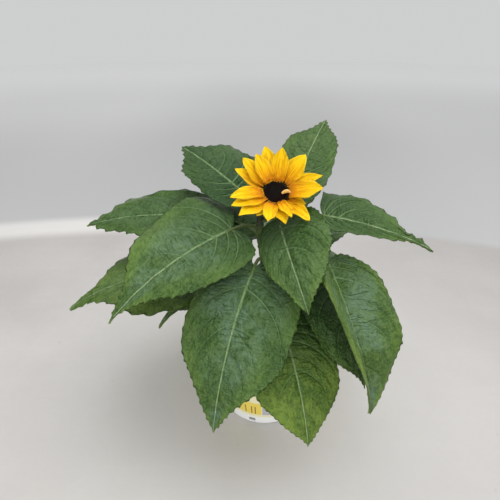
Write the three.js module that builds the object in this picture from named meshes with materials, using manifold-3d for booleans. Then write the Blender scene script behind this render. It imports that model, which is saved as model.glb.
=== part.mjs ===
// A potted dwarf sunflower: a tapered pot filled with soil, one leaning stem,
// sixteen heart-shaped leaves on stalks, and one open flower.
// Millimetres, +Z up. The flower faces -Y. The origin is the centre of the pot's flat underside.
import * as THREE from "three";
import Module from "manifold-3d";
import { mergeVertices } from "three/addons/utils/BufferGeometryUtils.js";

const wasm = await Module();
wasm.setup();

// Clearance between neighbouring pieces
const GAP = 0.3;
const SHORTEST_EDGE = 0.06;

// Pot
const POT_HEIGHT = 110;
const POT_BASE_R = 43;
const POT_TOP_R = 57.5;
const POT_WALL = 1.8;
const POT_FLOOR = 2.2;
const RIM_R = 60;
const RIM_DROP = 7;
const POT_SIDES = 36;
const BAND_HEIGHT = 9;
const SLOT_COUNT = 6;
const FIRST_SLOT = -107;
const SLOT_WIDTH = 6;
const SLOT_HEIGHT = 4;

// Soil
const SOIL_TOP = 97;
const SOIL_MOUND = 2.5;

// Stem: it leans to the left on the way up and comes back under the flower
const STEM_LINE = [
  [0, 0, 85],
  [0, 0, 100],
  [1, 0, 120],
  [-2, 2, 150],
  [-6, 4, 180],
  [-5, 7.5, 194],
  [0, 7.5, 202],
  [5, 4.6, 207.6],
];
const STEM_FOOT_R = 3.6;
const STEM_NECK_R = 2.5;

// Flower
const HEAD_CENTRE = [5, 0, 214];
const HEAD_TILT = 55;
const DISC_R = 10;
const DISC_RISE = 2.6;
const BASE_DEPTH = 8;
const BRACT_COUNT = 14;
const BRACT_LENGTH = 15;
const BRACT_WIDTH = 6;
const PETAL_THICK = 0.6;

// Leaves. Angles in degrees; heading is measured from +X, and -90 points at the front.
// node: height on the stem; joint: where stalk and blade meet; fold: how far each half rises;
// lobe: how far the blade reaches back beside its joint, as a share of its length
const LEAVES = {
  leaf_front: {
    node: 150, joint: [-12, -32, 166], heading: -111, bend: 4, pitch: -25, droop: 45, roll: -3,
    length: 118, width: 77, skew: 0.07, camber: 25,
  },
  leaf_left_top: {
    node: 180, joint: [-27.8, -13.3, 190.3], heading: -142, bend: -4, pitch: -5.5, droop: 38,
    roll: -8, length: 110, width: 83, wide: 0.59, lobeLeft: 0.16, lobeRight: 0.3, acute: 0.79,
    skew: -0.23, foldLeft: -5, foldRight: 11, camber: 17,
  },
  leaf_right_top: {
    node: 186, joint: [8.4, -3, 192], heading: -87, bend: 19, pitch: -5, droop: 40, roll: 14,
    length: 83, width: 52.5, wide: 0.71, lobeLeft: 0.13, lobeRight: 0.2, acute: 0.16, skew: 0.22,
    foldLeft: 31, foldRight: -8, camber: 29,
  },
  leaf_right_front: {
    node: 160, joint: [47, -15, 161.5], heading: -81, bend: 22, pitch: -16, droop: 66, roll: 3,
    length: 120, width: 69, wide: 0.95, lobe: 0.2, acute: 0.16, skew: 0.1,
    foldLeft: 4, foldRight: 58, camber: 10,
  },
  leaf_low_right_front: {
    node: 125, joint: [44, -19, 145], heading: -64, pitch: -25, droop: 38,
    length: 86, width: 54, lobe: 0.36,
  },
  leaf_low_front: {
    node: 118, joint: [11, -48, 125], heading: -75, pitch: -23, droop: 48,
    length: 87, width: 66, lobeLeft: 0.35, acute: 0.44,
  },
  leaf_left_low: {
    node: 139, joint: [-46, 1, 146], heading: -165, bend: -1, pitch: 9, droop: 44, roll: -6,
    length: 122, width: 87, lobeLeft: 0.19, lobeRight: 0.2, acute: 0.48, skew: 0.02, tail: 0.1,
  },
  leaf_low_left: {
    node: 120, joint: [-34, -18, 139], heading: -166, bend: 5, pitch: -2, droop: 57,
    length: 66, width: 38, tail: 0.25,
  },
  leaf_left_back: {
    node: 172, joint: [-30.5, 13, 184], heading: 170, bend: 5, pitch: 5, droop: 25, roll: -16,
    length: 129, width: 56, wide: 0.9, lobeRight: 0.45, acute: 0.56, skew: -0.2,
  },
  leaf_right_back: {
    node: 176, joint: [44, 5, 193], heading: -11, bend: 1, pitch: -6, droop: 21, roll: 15,
    length: 91, width: 46, wide: 0.68, lobeLeft: 0.17, lobeRight: 0.29, acute: 0.52, skew: 0.32,
    tail: 0.2, camber: 10,
  },
  leaf_back_left: {
    node: 192, joint: [-22, 20, 208], heading: 131, pitch: 16, droop: 10, roll: -14,
    length: 85, width: 58, wide: 0.85, lobeLeft: 0.35, lobeRight: 0.2, acute: 0.65, skew: -0.21,
  },
  leaf_back_right: {
    node: 196, joint: [22, 22.5, 213], heading: 65, bend: -2, pitch: 28, droop: 7,
    length: 84, width: 50, wide: 0.85, lobeLeft: 0.2, lobeRight: 0.45, acute: 0.52, skew: 0.1,
    camber: 24,
  },
  leaf_low_right: {
    node: 150, joint: [26, 22, 163], heading: 54, pitch: 2, droop: 40, roll: -1,
    length: 98, width: 60, lobeRight: 0.35,
  },
  leaf_back_low: {
    node: 128, joint: [2, 44, 156], heading: 95, bend: -6, pitch: -5, droop: 55,
    length: 104, width: 74,
  },
  leaf_back_low_left: {
    node: 125, joint: [-34, 36, 144], heading: 145, bend: 6, pitch: -5, droop: 55,
    length: 96, width: 66,
  },
  leaf_back_low_right: {
    node: 112, joint: [30, 34, 140], heading: 28, bend: -6, pitch: -10, droop: 55,
    length: 92, width: 64,
  },
};
const LEAF_DEFAULTS = {
  bend: 0, roll: 0, skew: 0, lobe: 0.3, acute: 0.6, wide: 0.8, tail: 0, fold: 8, camber: 20,
};
// Share of the edge that is reached by ribs starting at the joint itself
const FAN = 0.42;
const LEAF_ROWS = 28;
const LEAF_COLUMNS = [0, 0.36, 0.74, 1];
// Shares of the blade's length: depth of a tooth, height of the edge's waves
const TOOTH = 0.022;
const RIPPLE = 0.016;
// How far the side ribs bow towards the tip, and how steeply a stalk leaves the stem
const RIB_BOW = 0.64;
const STALK_RISE = 50;
const STALK_SIDES = 6;
// Half the width of the long narrow tip that some leaves end in
const TAIL_HALF_WIDTH = 2.2;

// Petals: turn round the flower's axis from its top, length, width, opening from the axis, layer
const PETALS = [
  [-11, 27, 11.5, 62, 0], [8, 24, 12.5, 58, 1], [41, 26.5, 14, 60, 0], [76, 26, 9.5, 65, 1],
  [96, 25, 14, 62, 2], [141, 26, 10, 70, 0], [160, 20, 7.5, 60, 1], [171, 21, 9.5, 66, 0],
  [195, 22, 10, 64, 1], [228, 26.5, 12, 70, 0], [243, 27, 11, 67, 1], [259, 26, 10, 65, 2],
  [297, 25, 10.5, 64, 0], [312, 25, 11.5, 62, 1], [329, 21.5, 11, 58, 2],
];

const COLOURS = {
  pot: ["#e9e6dc", 0.45],
  soil: ["#2a1d14", 0.95],
  stem: ["#6f8a3e", 0.7],
  leaf: ["#3f6b34", 0.6],
  sepal: ["#557a34", 0.7],
  disc: ["#23120c", 0.9],
  petal: ["#ffc21a", 0.55],
};

const rad = THREE.MathUtils.degToRad;
const clamp = THREE.MathUtils.clamp;
const V = (x, y, z) => new THREE.Vector3(x, y, z);

// Solids from geometry and back
function solid(geometry) {
  geometry.deleteAttribute("normal");
  geometry.deleteAttribute("uv");
  const merged = mergeVertices(geometry, 1e-4);
  return new wasm.Manifold(
    new wasm.Mesh({
      numProp: 3,
      vertProperties: new Float32Array(merged.attributes.position.array),
      triVerts: new Uint32Array(merged.index.array),
    }),
  );
}

function geometryOf(made) {
  // Edges shorter than SHORTEST_EDGE, left where pieces were joined or cut, are closed up
  const mesh = made.asOriginal().simplify(SHORTEST_EDGE).getMesh();
  const n = mesh.numProp;
  const points = new Float32Array(mesh.numVert * 3);
  for (let i = 0; i < mesh.numVert; i++) {
    points.set(mesh.vertProperties.subarray(i * n, i * n + 3), i * 3);
  }
  const geometry = new THREE.BufferGeometry();
  geometry.setAttribute("position", new THREE.BufferAttribute(points, 3));
  geometry.setIndex(new THREE.BufferAttribute(mesh.triVerts, 1));
  const flat = geometry.toNonIndexed();
  flat.computeVertexNormals();
  return flat;
}

function fromLists(points, faces) {
  const geometry = new THREE.BufferGeometry();
  const flat = points.flatMap((p) => [p.x, p.y, p.z]);
  geometry.setAttribute("position", new THREE.Float32BufferAttribute(flat, 3));
  geometry.setIndex(faces.filter(([a, b, c]) => a !== b && b !== c && a !== c).flat());
  return geometry;
}

function turned(profile, sides) {
  const lathe = new THREE.LatheGeometry(profile.map(([r, z]) => new THREE.Vector2(r, z)), sides);
  return solid(lathe.rotateX(Math.PI / 2));
}

// A tapering round bar along a line of points
function bar(line, radii, sides) {
  const points = [];
  const faces = [];
  let across = V(1, 0, 0);
  line.forEach((p, i) => {
    const along = line[Math.min(i + 1, line.length - 1)].clone();
    along.sub(line[Math.max(i - 1, 0)]).normalize();
    across = across.clone().addScaledVector(along, -across.dot(along)).normalize();
    const third = along.clone().cross(across);
    for (let k = 0; k < sides; k++) {
      const a = (2 * Math.PI * k) / sides;
      const q = p.clone().addScaledVector(across, radii[i] * Math.cos(a));
      points.push(q.addScaledVector(third, radii[i] * Math.sin(a)));
    }
  });
  for (let i = 0; i + 1 < line.length; i++) {
    for (let k = 0; k < sides; k++) {
      const a = i * sides + k;
      const b = i * sides + ((k + 1) % sides);
      faces.push([a, b, b + sides], [a, b + sides, a + sides]);
    }
  }
  const top = (line.length - 1) * sides;
  for (let k = 1; k + 1 < sides; k++) {
    faces.push([0, k + 1, k], [top, top + k, top + k + 1]);
  }
  return solid(fromLists(points, faces));
}

// Stem
const stemCurve = new THREE.CatmullRomCurve3(STEM_LINE.map((p) => V(...p)));

function stemAt(height) {
  let low = 0;
  let high = 1;
  for (let i = 0; i < 30; i++) {
    const middle = (low + high) / 2;
    if (stemCurve.getPoint(middle).z < height) low = middle;
    else high = middle;
  }
  return stemCurve.getPoint(low);
}

function stemBar(extra) {
  const steps = 18;
  const line = stemCurve.getSpacedPoints(steps);
  line[0].addScaledVector(stemCurve.getTangent(0), -extra);
  line[steps].addScaledVector(stemCurve.getTangent(1), extra);
  const radii = line.map((p, i) => {
    const swell = 0.8 * Math.exp(-((p.z - SOIL_TOP) ** 2) / 60);
    return STEM_FOOT_R + (STEM_NECK_R - STEM_FOOT_R) * (i / steps) + swell + extra;
  });
  return bar(line, radii, 10);
}

// Pot and soil
const WALL_SLOPE = (POT_TOP_R - POT_BASE_R) / (POT_HEIGHT - BAND_HEIGHT);
const wallAt = (z) => POT_BASE_R + WALL_SLOPE * (z - BAND_HEIGHT);

function makePot() {
  const inner = (z) => Math.min(POT_BASE_R, wallAt(z)) - POT_WALL;
  const pot = turned(
    [
      [0, 0],
      [POT_BASE_R - 1, 0],
      [POT_BASE_R, 1],
      [POT_BASE_R, BAND_HEIGHT],
      [wallAt(POT_HEIGHT - RIM_DROP), POT_HEIGHT - RIM_DROP],
      [RIM_R - 0.6, POT_HEIGHT - RIM_DROP],
      [RIM_R, POT_HEIGHT - 1],
      [RIM_R - 1, POT_HEIGHT],
      [POT_TOP_R - POT_WALL + 0.4, POT_HEIGHT],
      [POT_TOP_R - POT_WALL, POT_HEIGHT - 1],
      [inner(BAND_HEIGHT), BAND_HEIGHT],
      [POT_BASE_R - POT_WALL, POT_FLOOR],
      [0, POT_FLOOR],
    ],
    POT_SIDES,
  );
  const slots = [];
  for (let i = 0; i < SLOT_COUNT; i++) {
    const slot = new THREE.BoxGeometry(8, SLOT_WIDTH, SLOT_HEIGHT);
    slot.translate(POT_BASE_R - 1, 0, POT_FLOOR + SLOT_HEIGHT / 2);
    slot.rotateZ(rad(FIRST_SLOT + (360 * i) / SLOT_COUNT));
    slots.push(solid(slot));
  }
  return slots.reduce((a, b) => a.subtract(b), pot);
}

function makeSoil() {
  const inner = (z) => wallAt(z) - POT_WALL - GAP - 0.2;
  const rings = [0.2, 0.45, 0.7, 0.88, 1];
  const sides = 32;
  const points = [V(0, 0, SOIL_TOP + SOIL_MOUND)];
  const faces = [];
  const bump = (r, a) => 0.7 * Math.sin(5 * a + 9 * r) + 0.6 * Math.cos(7 * a - 14 * r);
  rings.forEach((r) => {
    for (let k = 0; k < sides; k++) {
      const a = (2 * Math.PI * k) / sides;
      const z = SOIL_TOP + SOIL_MOUND * (1 - r * r) + (r < 1 ? bump(r, a) : 0);
      points.push(V(r * inner(SOIL_TOP) * Math.cos(a), r * inner(SOIL_TOP) * Math.sin(a), z));
    }
  });
  const low = [
    [inner(BAND_HEIGHT), BAND_HEIGHT],
    [inner(BAND_HEIGHT), POT_FLOOR + GAP],
  ];
  low.forEach(([r, z]) => {
    for (let k = 0; k < sides; k++) {
      const a = (2 * Math.PI * k) / sides;
      points.push(V(r * Math.cos(a), r * Math.sin(a), z));
    }
  });
  points.push(V(0, 0, POT_FLOOR + GAP));
  const last = points.length - 1;
  for (let k = 0; k < sides; k++) {
    const n = (k + 1) % sides;
    faces.push([0, 1 + k, 1 + n]);
    for (let ring = 0; ring < rings.length + 1; ring++) {
      const a = 1 + ring * sides;
      faces.push([a + k, a + sides + k, a + sides + n], [a + k, a + sides + n, a + n]);
    }
    const a = 1 + (rings.length + 1) * sides;
    faces.push([a + k, last, a + n]);
  }
  return solid(fromLists(points, faces)).subtract(stemBar(GAP));
}

// Leaves
function outline(leaf, t, side) {
  const lobe = (side > 0 ? leaf.lobeLeft : leaf.lobeRight) ?? leaf.lobe;
  const u = clamp(t / 0.6, 0, 1);
  const x = leaf.length * (t - lobe * 6.75 * u * (1 - u) ** 2);
  const v = clamp(t / (1 - leaf.tail), 0, 1);
  let y = v >= 1 ? 0 : (leaf.width / 2) * Math.sin(Math.PI * v ** leaf.wide) ** (1 + leaf.acute * v);
  if (leaf.tail && t > 0.5) {
    y = Math.max(y, TAIL_HALF_WIDTH * clamp((1 - t) / leaf.tail, 0, 1) ** 0.6);
  }
  return [x, y];
}

// The midrib's line in space, with the direction across the blade and out of its upper face
function midrib(leaf) {
  const steps = 60;
  const line = [V(...leaf.joint)];
  const aim = (q) => {
    const e = rad(leaf.pitch - leaf.droop * q ** 1.3);
    const a = rad(leaf.heading + leaf.bend * q);
    return V(Math.cos(e) * Math.cos(a), Math.cos(e) * Math.sin(a), Math.sin(e));
  };
  for (let i = 0; i < steps; i++) {
    const step = aim((i + 0.5) / steps).multiplyScalar(leaf.length / steps);
    line.push(line[i].clone().add(step));
  }
  return (s) => {
    const q = clamp(s / leaf.length, 0, 1);
    const i = Math.min(Math.floor(q * steps), steps - 1);
    const along = aim(q);
    const point = line[i].clone().lerp(line[i + 1], q * steps - i);
    point.addScaledVector(along, Math.min(s, 0));
    const a = rad(leaf.heading + leaf.bend * q);
    const flat = V(-Math.sin(a), Math.cos(a), 0);
    const up = along.clone().cross(flat);
    const roll = rad(leaf.roll);
    const across = flat.clone().multiplyScalar(Math.cos(roll)).addScaledVector(up, Math.sin(roll));
    const out = up.clone().multiplyScalar(Math.cos(roll)).addScaledVector(flat, -Math.sin(roll));
    return { point, along, across, out };
  };
}

// A point of the flat blade, carried onto the bent and folded one
function onBlade(leaf, rib, x, y, t) {
  const frame = rib(x);
  const side = Math.sign(y);
  const reach = y * (1 + side * leaf.skew);
  const q = Math.abs(reach) / (leaf.width / 2);
  const fold = side > 0 ? leaf.foldLeft ?? leaf.fold : leaf.foldRight ?? leaf.fold;
  const angle = rad(fold - (leaf.camber * q) / 2);
  const phase = side > 0 ? leaf.node : 2 * leaf.node;
  const wave = RIPPLE * leaf.length * q * q * Math.sin(19 * t + phase);
  const point = frame.point.addScaledVector(frame.across, reach * Math.cos(angle));
  point.addScaledVector(frame.out, Math.abs(reach) * Math.sin(angle) + wave);
  const normal = frame.out.clone().multiplyScalar(Math.cos(angle));
  normal.addScaledVector(frame.across, -side * Math.sin(angle));
  return { point, normal };
}

function makeBlade(leaf, rib) {
  const half = Math.max(0.6, leaf.length / 190);
  const points = [];
  const faces = [];
  const spot = new Map();
  // Corner i runs along the edge, j runs out from the midrib
  const corner = (face, side, i, j) => {
    const t = i / LEAF_ROWS;
    const start = leaf.length * clamp((t - FAN) / (1 - FAN), 0, 1) ** 1.1;
    const atTip = i === LEAF_ROWS;
    const onRib = j === 0 || i === 0 || atTip;
    const key = onRib ? face + " rib " + (atTip ? "tip" : start) : [face, side, i, j].join();
    if (!spot.has(key)) {
      let [x, y] = outline(leaf, t, side);
      if (j === LEAF_COLUMNS.length - 1 && i > 1 && i < LEAF_ROWS - 1 && i % 2) {
        y += TOOTH * leaf.length;
      }
      const r = atTip ? 1 : LEAF_COLUMNS[j];
      const bow = RIB_BOW * r * (1 - r);
      const px = start + (x - start) * r - y * bow;
      const py = y * r + (x - start) * bow;
      const { point, normal } = onBlade(leaf, rib, px, onRib ? 0 : side * py, t);
      const thin = face * half * (1 - 0.35 * r);
      points.push(point.addScaledVector(normal, thin));
      spot.set(key, points.length - 1);
    }
    return spot.get(key);
  };
  const quad = (flip, a, b, c, d) => {
    if (flip) faces.push([a, c, b], [a, d, c]);
    else faces.push([a, b, c], [a, c, d]);
  };
  const last = LEAF_COLUMNS.length - 1;
  for (const side of [1, -1]) {
    for (const face of [1, -1]) {
      const flip = side * face < 0;
      const c = (i, j) => corner(face, side, i, j);
      for (let i = 0; i < LEAF_ROWS; i += 2) {
        for (let j = 0; j + 1 < last; j++) {
          quad(!flip, c(i, j), c(i, j + 1), c(i + 2, j + 1), c(i + 2, j));
        }
        const fan = [[c(i, last - 1), c(i, last), c(i + 1, last)]];
        fan.push([c(i, last - 1), c(i + 1, last), c(i + 2, last - 1)]);
        fan.push([c(i + 2, last - 1), c(i + 1, last), c(i + 2, last)]);
        fan.forEach(([p, q, r]) => faces.push(flip ? [p, q, r] : [p, r, q]));
      }
    }
    for (let i = 0; i < LEAF_ROWS; i++) {
      const c = (face, k) => corner(face, side, k, last);
      quad(side > 0, c(-1, i), c(-1, i + 1), c(1, i + 1), c(1, i));
    }
  }
  return solid(fromLists(points, faces));
}

function makeLeaf(leaf, stemGrown) {
  const rib = midrib(leaf);
  const blade = makeBlade(leaf, rib);
  const joint = rib(0);
  const root = stemAt(leaf.node);
  const away = joint.point.clone().sub(root);
  const span = away.length();
  const start = away.clone().setZ(0).normalize().multiplyScalar(Math.cos(rad(STALK_RISE)));
  start.z = Math.sin(rad(STALK_RISE));
  const stalk = new THREE.CubicBezierCurve3(
    root,
    root.clone().addScaledVector(start, 0.4 * span),
    joint.point.clone().addScaledVector(joint.along, -0.4 * span),
    joint.point,
  );
  const thick = 1 + leaf.length / 190;
  const line = stalk.getPoints(7);
  const radii = line.map((p, i) => thick * (1.15 - 0.025 * i));
  for (const q of [0.12, 0.25, 0.4, 0.55, 0.7]) {
    const frame = rib(q * leaf.length);
    const r = thick * (0.95 - q);
    line.push(frame.point.addScaledVector(frame.out, -0.5 * r - 0.2));
    radii.push(r);
  }
  return blade.add(bar(line, radii, STALK_SIDES)).subtract(stemGrown);
}

// Flower
const head = new THREE.Matrix4();
{
  const axis = V(0, -Math.cos(rad(HEAD_TILT)), Math.sin(rad(HEAD_TILT)));
  const up = V(0, Math.sin(rad(HEAD_TILT)), Math.cos(rad(HEAD_TILT)));
  head.makeBasis(up.clone().cross(axis), up, axis).setPosition(V(...HEAD_CENTRE));
}

// A thin curved strip: r runs outward from the axis, its middle rises with the opening angle
function strip(shape) {
  const rows = shape.rows;
  const points = [];
  const faces = [];
  const angle = rad(shape.open);
  const at = (face, i, j) => {
    const s = i / rows;
    const w = shape.width * Math.sin(Math.PI * (0.1 + 0.9 * s) ** 1.15) ** 0.75;
    const half = i === rows ? 0.15 : Math.max(w / 2, shape.width * 0.16);
    const y = j * half;
    const lean = angle + rad(shape.curl) * s;
    const out = shape.start + shape.length * s * Math.sin(angle + rad(shape.curl) * s * 0.5);
    const rise = shape.lift + shape.length * s * Math.cos(angle + rad(shape.curl) * s * 0.5);
    const cup = shape.cup * (j * j) * half;
    const thick = (face * shape.thick) / 2;
    return V(y, out - (cup + thick) * Math.cos(lean), rise + (cup + thick) * Math.sin(lean));
  };
  const index = (face, i, j) => (face > 0 ? 0 : 3 * (rows + 1)) + 3 * i + j + 1;
  for (const face of [1, -1]) {
    for (let i = 0; i <= rows; i++) {
      for (const j of [-1, 0, 1]) points.push(at(face, i, j));
    }
  }
  for (let i = 0; i < rows; i++) {
    for (const j of [-1, 0]) {
      const corners = (face) => [
        index(face, i, j),
        index(face, i, j + 1),
        index(face, i + 1, j + 1),
        index(face, i + 1, j),
      ];
      const [a, b, c, d] = corners(1);
      faces.push([a, b, c], [a, c, d]);
      const [e, f, g, h] = corners(-1);
      faces.push([e, g, f], [e, h, g]);
    }
    for (const j of [-1, 1]) {
      const [a, b, c, d] = [index(1, i, j), index(1, i + 1, j), index(-1, i + 1, j), index(-1, i, j)];
      if (j > 0) faces.push([a, c, b], [a, d, c]);
      else faces.push([a, b, c], [a, c, d]);
    }
  }
  for (const j of [-1, 0]) {
    const end = (i) => [index(1, i, j), index(1, i, j + 1), index(-1, i, j + 1), index(-1, i, j)];
    const [a, b, c, d] = end(0);
    faces.push([a, c, b], [a, d, c]);
    const [e, f, g, h] = end(rows);
    faces.push([e, f, g], [e, g, h]);
  }
  return fromLists(points, faces);
}

function makeFlowerBase(stemGrown) {
  const neck = [
    [0, -BASE_DEPTH],
    [3.4, -BASE_DEPTH],
    [7, -BASE_DEPTH + 1.6],
    [9.6, -4],
    [10.4, -1.4],
    [DISC_R - 0.4, -0.4],
    [0, -0.4],
  ];
  let base = turned(neck, 24);
  for (let i = 0; i < BRACT_COUNT; i++) {
    const bract = strip({
      rows: 3, start: 7.5, lift: -3.2 + (i % 2) * 0.9, length: BRACT_LENGTH, width: BRACT_WIDTH,
      open: 84 + (i % 2) * 5, curl: 14, cup: -0.1, thick: 0.8,
    });
    bract.rotateZ((2 * Math.PI * (i + 0.5)) / BRACT_COUNT);
    base = base.add(solid(bract));
  }
  return base.transform(head.toArray()).subtract(stemGrown);
}

function makeDisc() {
  const dome = [[0, 0]];
  dome.push([DISC_R - 0.9, 0], [DISC_R - 0.3, 0.7]);
  for (const q of [0.93, 0.8, 0.6, 0.35]) {
    dome.push([(DISC_R - 0.3) * q, 0.7 + DISC_RISE * Math.sqrt(1 - q * q)]);
  }
  dome.push([0, DISC_RISE + 0.2]);
  return turned(dome, 24).transform(head.toArray());
}

function makePetal([turn, length, width, open, layer]) {
  const petal = strip({
    rows: 6, start: DISC_R + 0.5, lift: 0.2 + 1.2 * layer, length, width,
    open, curl: 10, cup: 0.16, thick: PETAL_THICK,
  });
  petal.rotateZ(rad(-turn));
  return solid(petal).transform(head.toArray());
}

// Everything together
const plant = new THREE.Group();
plant.name = "potted_sunflower";

function place(name, made, look) {
  const [colour, roughness] = COLOURS[look];
  const material = new THREE.MeshStandardMaterial({ color: colour, roughness, metalness: 0 });
  const mesh = new THREE.Mesh(geometryOf(made), material);
  mesh.name = name;
  plant.add(mesh);
}

const stemGrown = stemBar(GAP);
place("pot", makePot(), "pot");
place("soil", makeSoil(), "soil");
place("stem", stemBar(0), "stem");
for (const [name, values] of Object.entries(LEAVES)) {
  place(name, makeLeaf({ ...LEAF_DEFAULTS, ...values }, stemGrown), "leaf");
}
place("flower_base", makeFlowerBase(stemGrown), "sepal");
place("flower_disc", makeDisc(), "disc");
PETALS.forEach((petal, i) => place("petal_" + (i + 1), makePetal(petal), "petal"));

export default plant;
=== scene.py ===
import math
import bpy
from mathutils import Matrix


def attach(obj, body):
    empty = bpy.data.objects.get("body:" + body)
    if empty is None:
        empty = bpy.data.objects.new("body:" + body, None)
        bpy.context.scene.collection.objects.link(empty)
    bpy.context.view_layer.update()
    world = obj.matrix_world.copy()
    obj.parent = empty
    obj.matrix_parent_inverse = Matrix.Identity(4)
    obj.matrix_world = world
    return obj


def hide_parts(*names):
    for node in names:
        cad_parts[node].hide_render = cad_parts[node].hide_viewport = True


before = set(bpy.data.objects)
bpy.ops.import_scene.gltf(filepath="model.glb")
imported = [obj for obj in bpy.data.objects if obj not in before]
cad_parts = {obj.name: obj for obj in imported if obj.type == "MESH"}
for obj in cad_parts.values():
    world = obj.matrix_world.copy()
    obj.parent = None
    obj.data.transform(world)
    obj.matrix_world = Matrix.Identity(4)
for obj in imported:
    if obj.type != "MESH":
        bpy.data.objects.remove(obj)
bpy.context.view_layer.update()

# A potted dwarf sunflower: a printed plastic pot, crumbly compost, a bristly stem, toothed and
# puckered leaves on stalks, and one open flower with a dark disc. Sizes are in millimetres and
# angles in degrees, unless a comment says otherwise, in the frame of the solids.
from types import SimpleNamespace

import bmesh
import bpy
import numpy as np
from mathutils import Vector

MM = 0.001

# Pot and compost
POT_HEIGHT = 110
POT_BASE_R = 43
POT_TOP_R = 57.5
POT_WALL = 1.4
POT_FLOOR = 2.2
POT_SIDES = 180
RIM_R = 60
RIM_DROP = 7
BAND_HEIGHT = 9
WALL_SLOPE = (POT_TOP_R - POT_BASE_R) / (POT_HEIGHT - BAND_HEIGHT)
SLOT_COUNT = 6
FIRST_SLOT = -107
SLOT_WIDTH = 6
SLOT_HEIGHT = 4
SOIL_TOP = 97
SOIL_MOUND = 2.5
SOIL_INSET = 2.3
SOIL_SUNK = 0.6
SOIL_SIDES = 144
SOIL_RINGS = 46

# Print on the pot: a row of panels, yellow ones with upright bars and grey ones with level
# lines. PANEL_SHIFT is in panels, and the bars' places run from a panel's left edge. The wall is
# cream up to CREAM_TOP, and tinted more and more from there to TINT_TOP.
PANELS = 10
PANEL_SHIFT = 0.613
PANEL_ROW = (13, 32)
PRINT_R = 46
BARS_AT = (5.2, 12.6, 18.6, 22.0)
BAR_WIDTH = 1.1
BAR_ROW = (14, 26)
HALF_LINE_PITCH = 1.05
CREAM_TOP = 46
TINT_TOP = 92

# Stem and stalks
STEM_LINE = [
    (0, 0, 85), (0, 0, 100), (1, 0, 120), (-2, 2, 150),
    (-6, 4, 180), (-5, 7.5, 194), (0, 7.5, 202), (5, 4.6, 207.6),
]
STEM_FOOT_R = 3.6
STEM_NECK_R = 2.5
FOOT_SWELL = 0.8
NODE_SWELL = 0.35
STEM_SIDES = 36
# Painted shade darkens the stem from NECK_FROM upwards, fully dark NECK_REACH higher.
NECK_FROM = 176
NECK_REACH = 14
STALK_RISE = 50
STALK_ROWS = 26
STALK_SIDES = 14
RIB_ROWS = 16
# Hairs: radius, how deep they are rooted, their number, and their longest lengths
HAIR_R = 0.06
HAIR_ROOT = 0.1
STEM_HAIRS = 1500
STALK_HAIRS_PER_MM = 5
STEM_HAIR = 1.3
STALK_HAIR = 1.0
BRACT_HAIR = 0.9

# Flower
HEAD_CENTRE = (5, 0, 214)
HEAD_TILT = 55
DISC_R = 10
DISC_RISE = 2.6
DISC_SIDES = 60
# Florets, with the shares of the disc's radius where buds end and where the rusty rim starts
FLORETS = 330
FLORET_SIDES = 10
BUD_SHARE = 0.5
DARK_SHARE = 0.88
BASE_DEPTH = 8
CUP_SIDES = 56
BRACT_LENGTH = 15
PETAL_START = DISC_R + 0.2
# Each petal is this many times as wide as its solid, and stands up by so many degrees more
PETAL_WIDER = 1.12
PETAL_STEEPER = 3
# Rows and columns of points on each petal, short ray and bract
PETAL_GRID = (44, 17)
RAY_GRID = (30, 13)
BRACT_GRID = (18, 9)

# Petals: turn round the flower's axis from its top, length, width, opening, layer
PETALS = [
    (-11, 27, 11.5, 62, 0), (8, 24, 12.5, 58, 1), (41, 26.5, 14, 60, 0), (76, 26, 9.5, 65, 1),
    (96, 25, 14, 62, 2), (141, 26, 10, 70, 0), (160, 20, 7.5, 60, 1), (171, 21, 9.5, 66, 0),
    (195, 22, 10, 64, 1), (228, 26.5, 12, 70, 0), (243, 27, 11, 67, 1), (259, 26, 10, 65, 2),
    (297, 25, 10.5, 64, 0), (312, 25, 11.5, 62, 1), (329, 21.5, 11, 58, 2),
]
# Bent petals: how far the foot is turned back, and how far the tip sways sideways
BENDS = {4: (-4, 2.0), 6: (-5, 2.6), 12: (0, -5.0), 13: (2, -0.8), 14: (0, 0.6), 15: (0, 0.4)}
# Short rays behind the petals: turn, length, width
SMALL_RAYS = [(212, 17, 9), (183, 15, 8), (62, 19, 9), (118, 15, 8), (252, 17, 8), (344, 17, 8)]
# The small curled ray that lies on the disc: its line in the flower's own frame, and its girth
CURL_LINE = [(10.4, -1.6, 3.2), (8.4, -1.6, 4.4), (6.4, -2.2, 4.6), (4.4, -3.2, 4.2)]
CURL_GIRTH = (0.9, 1.45, 1.45, 0.8)
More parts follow.
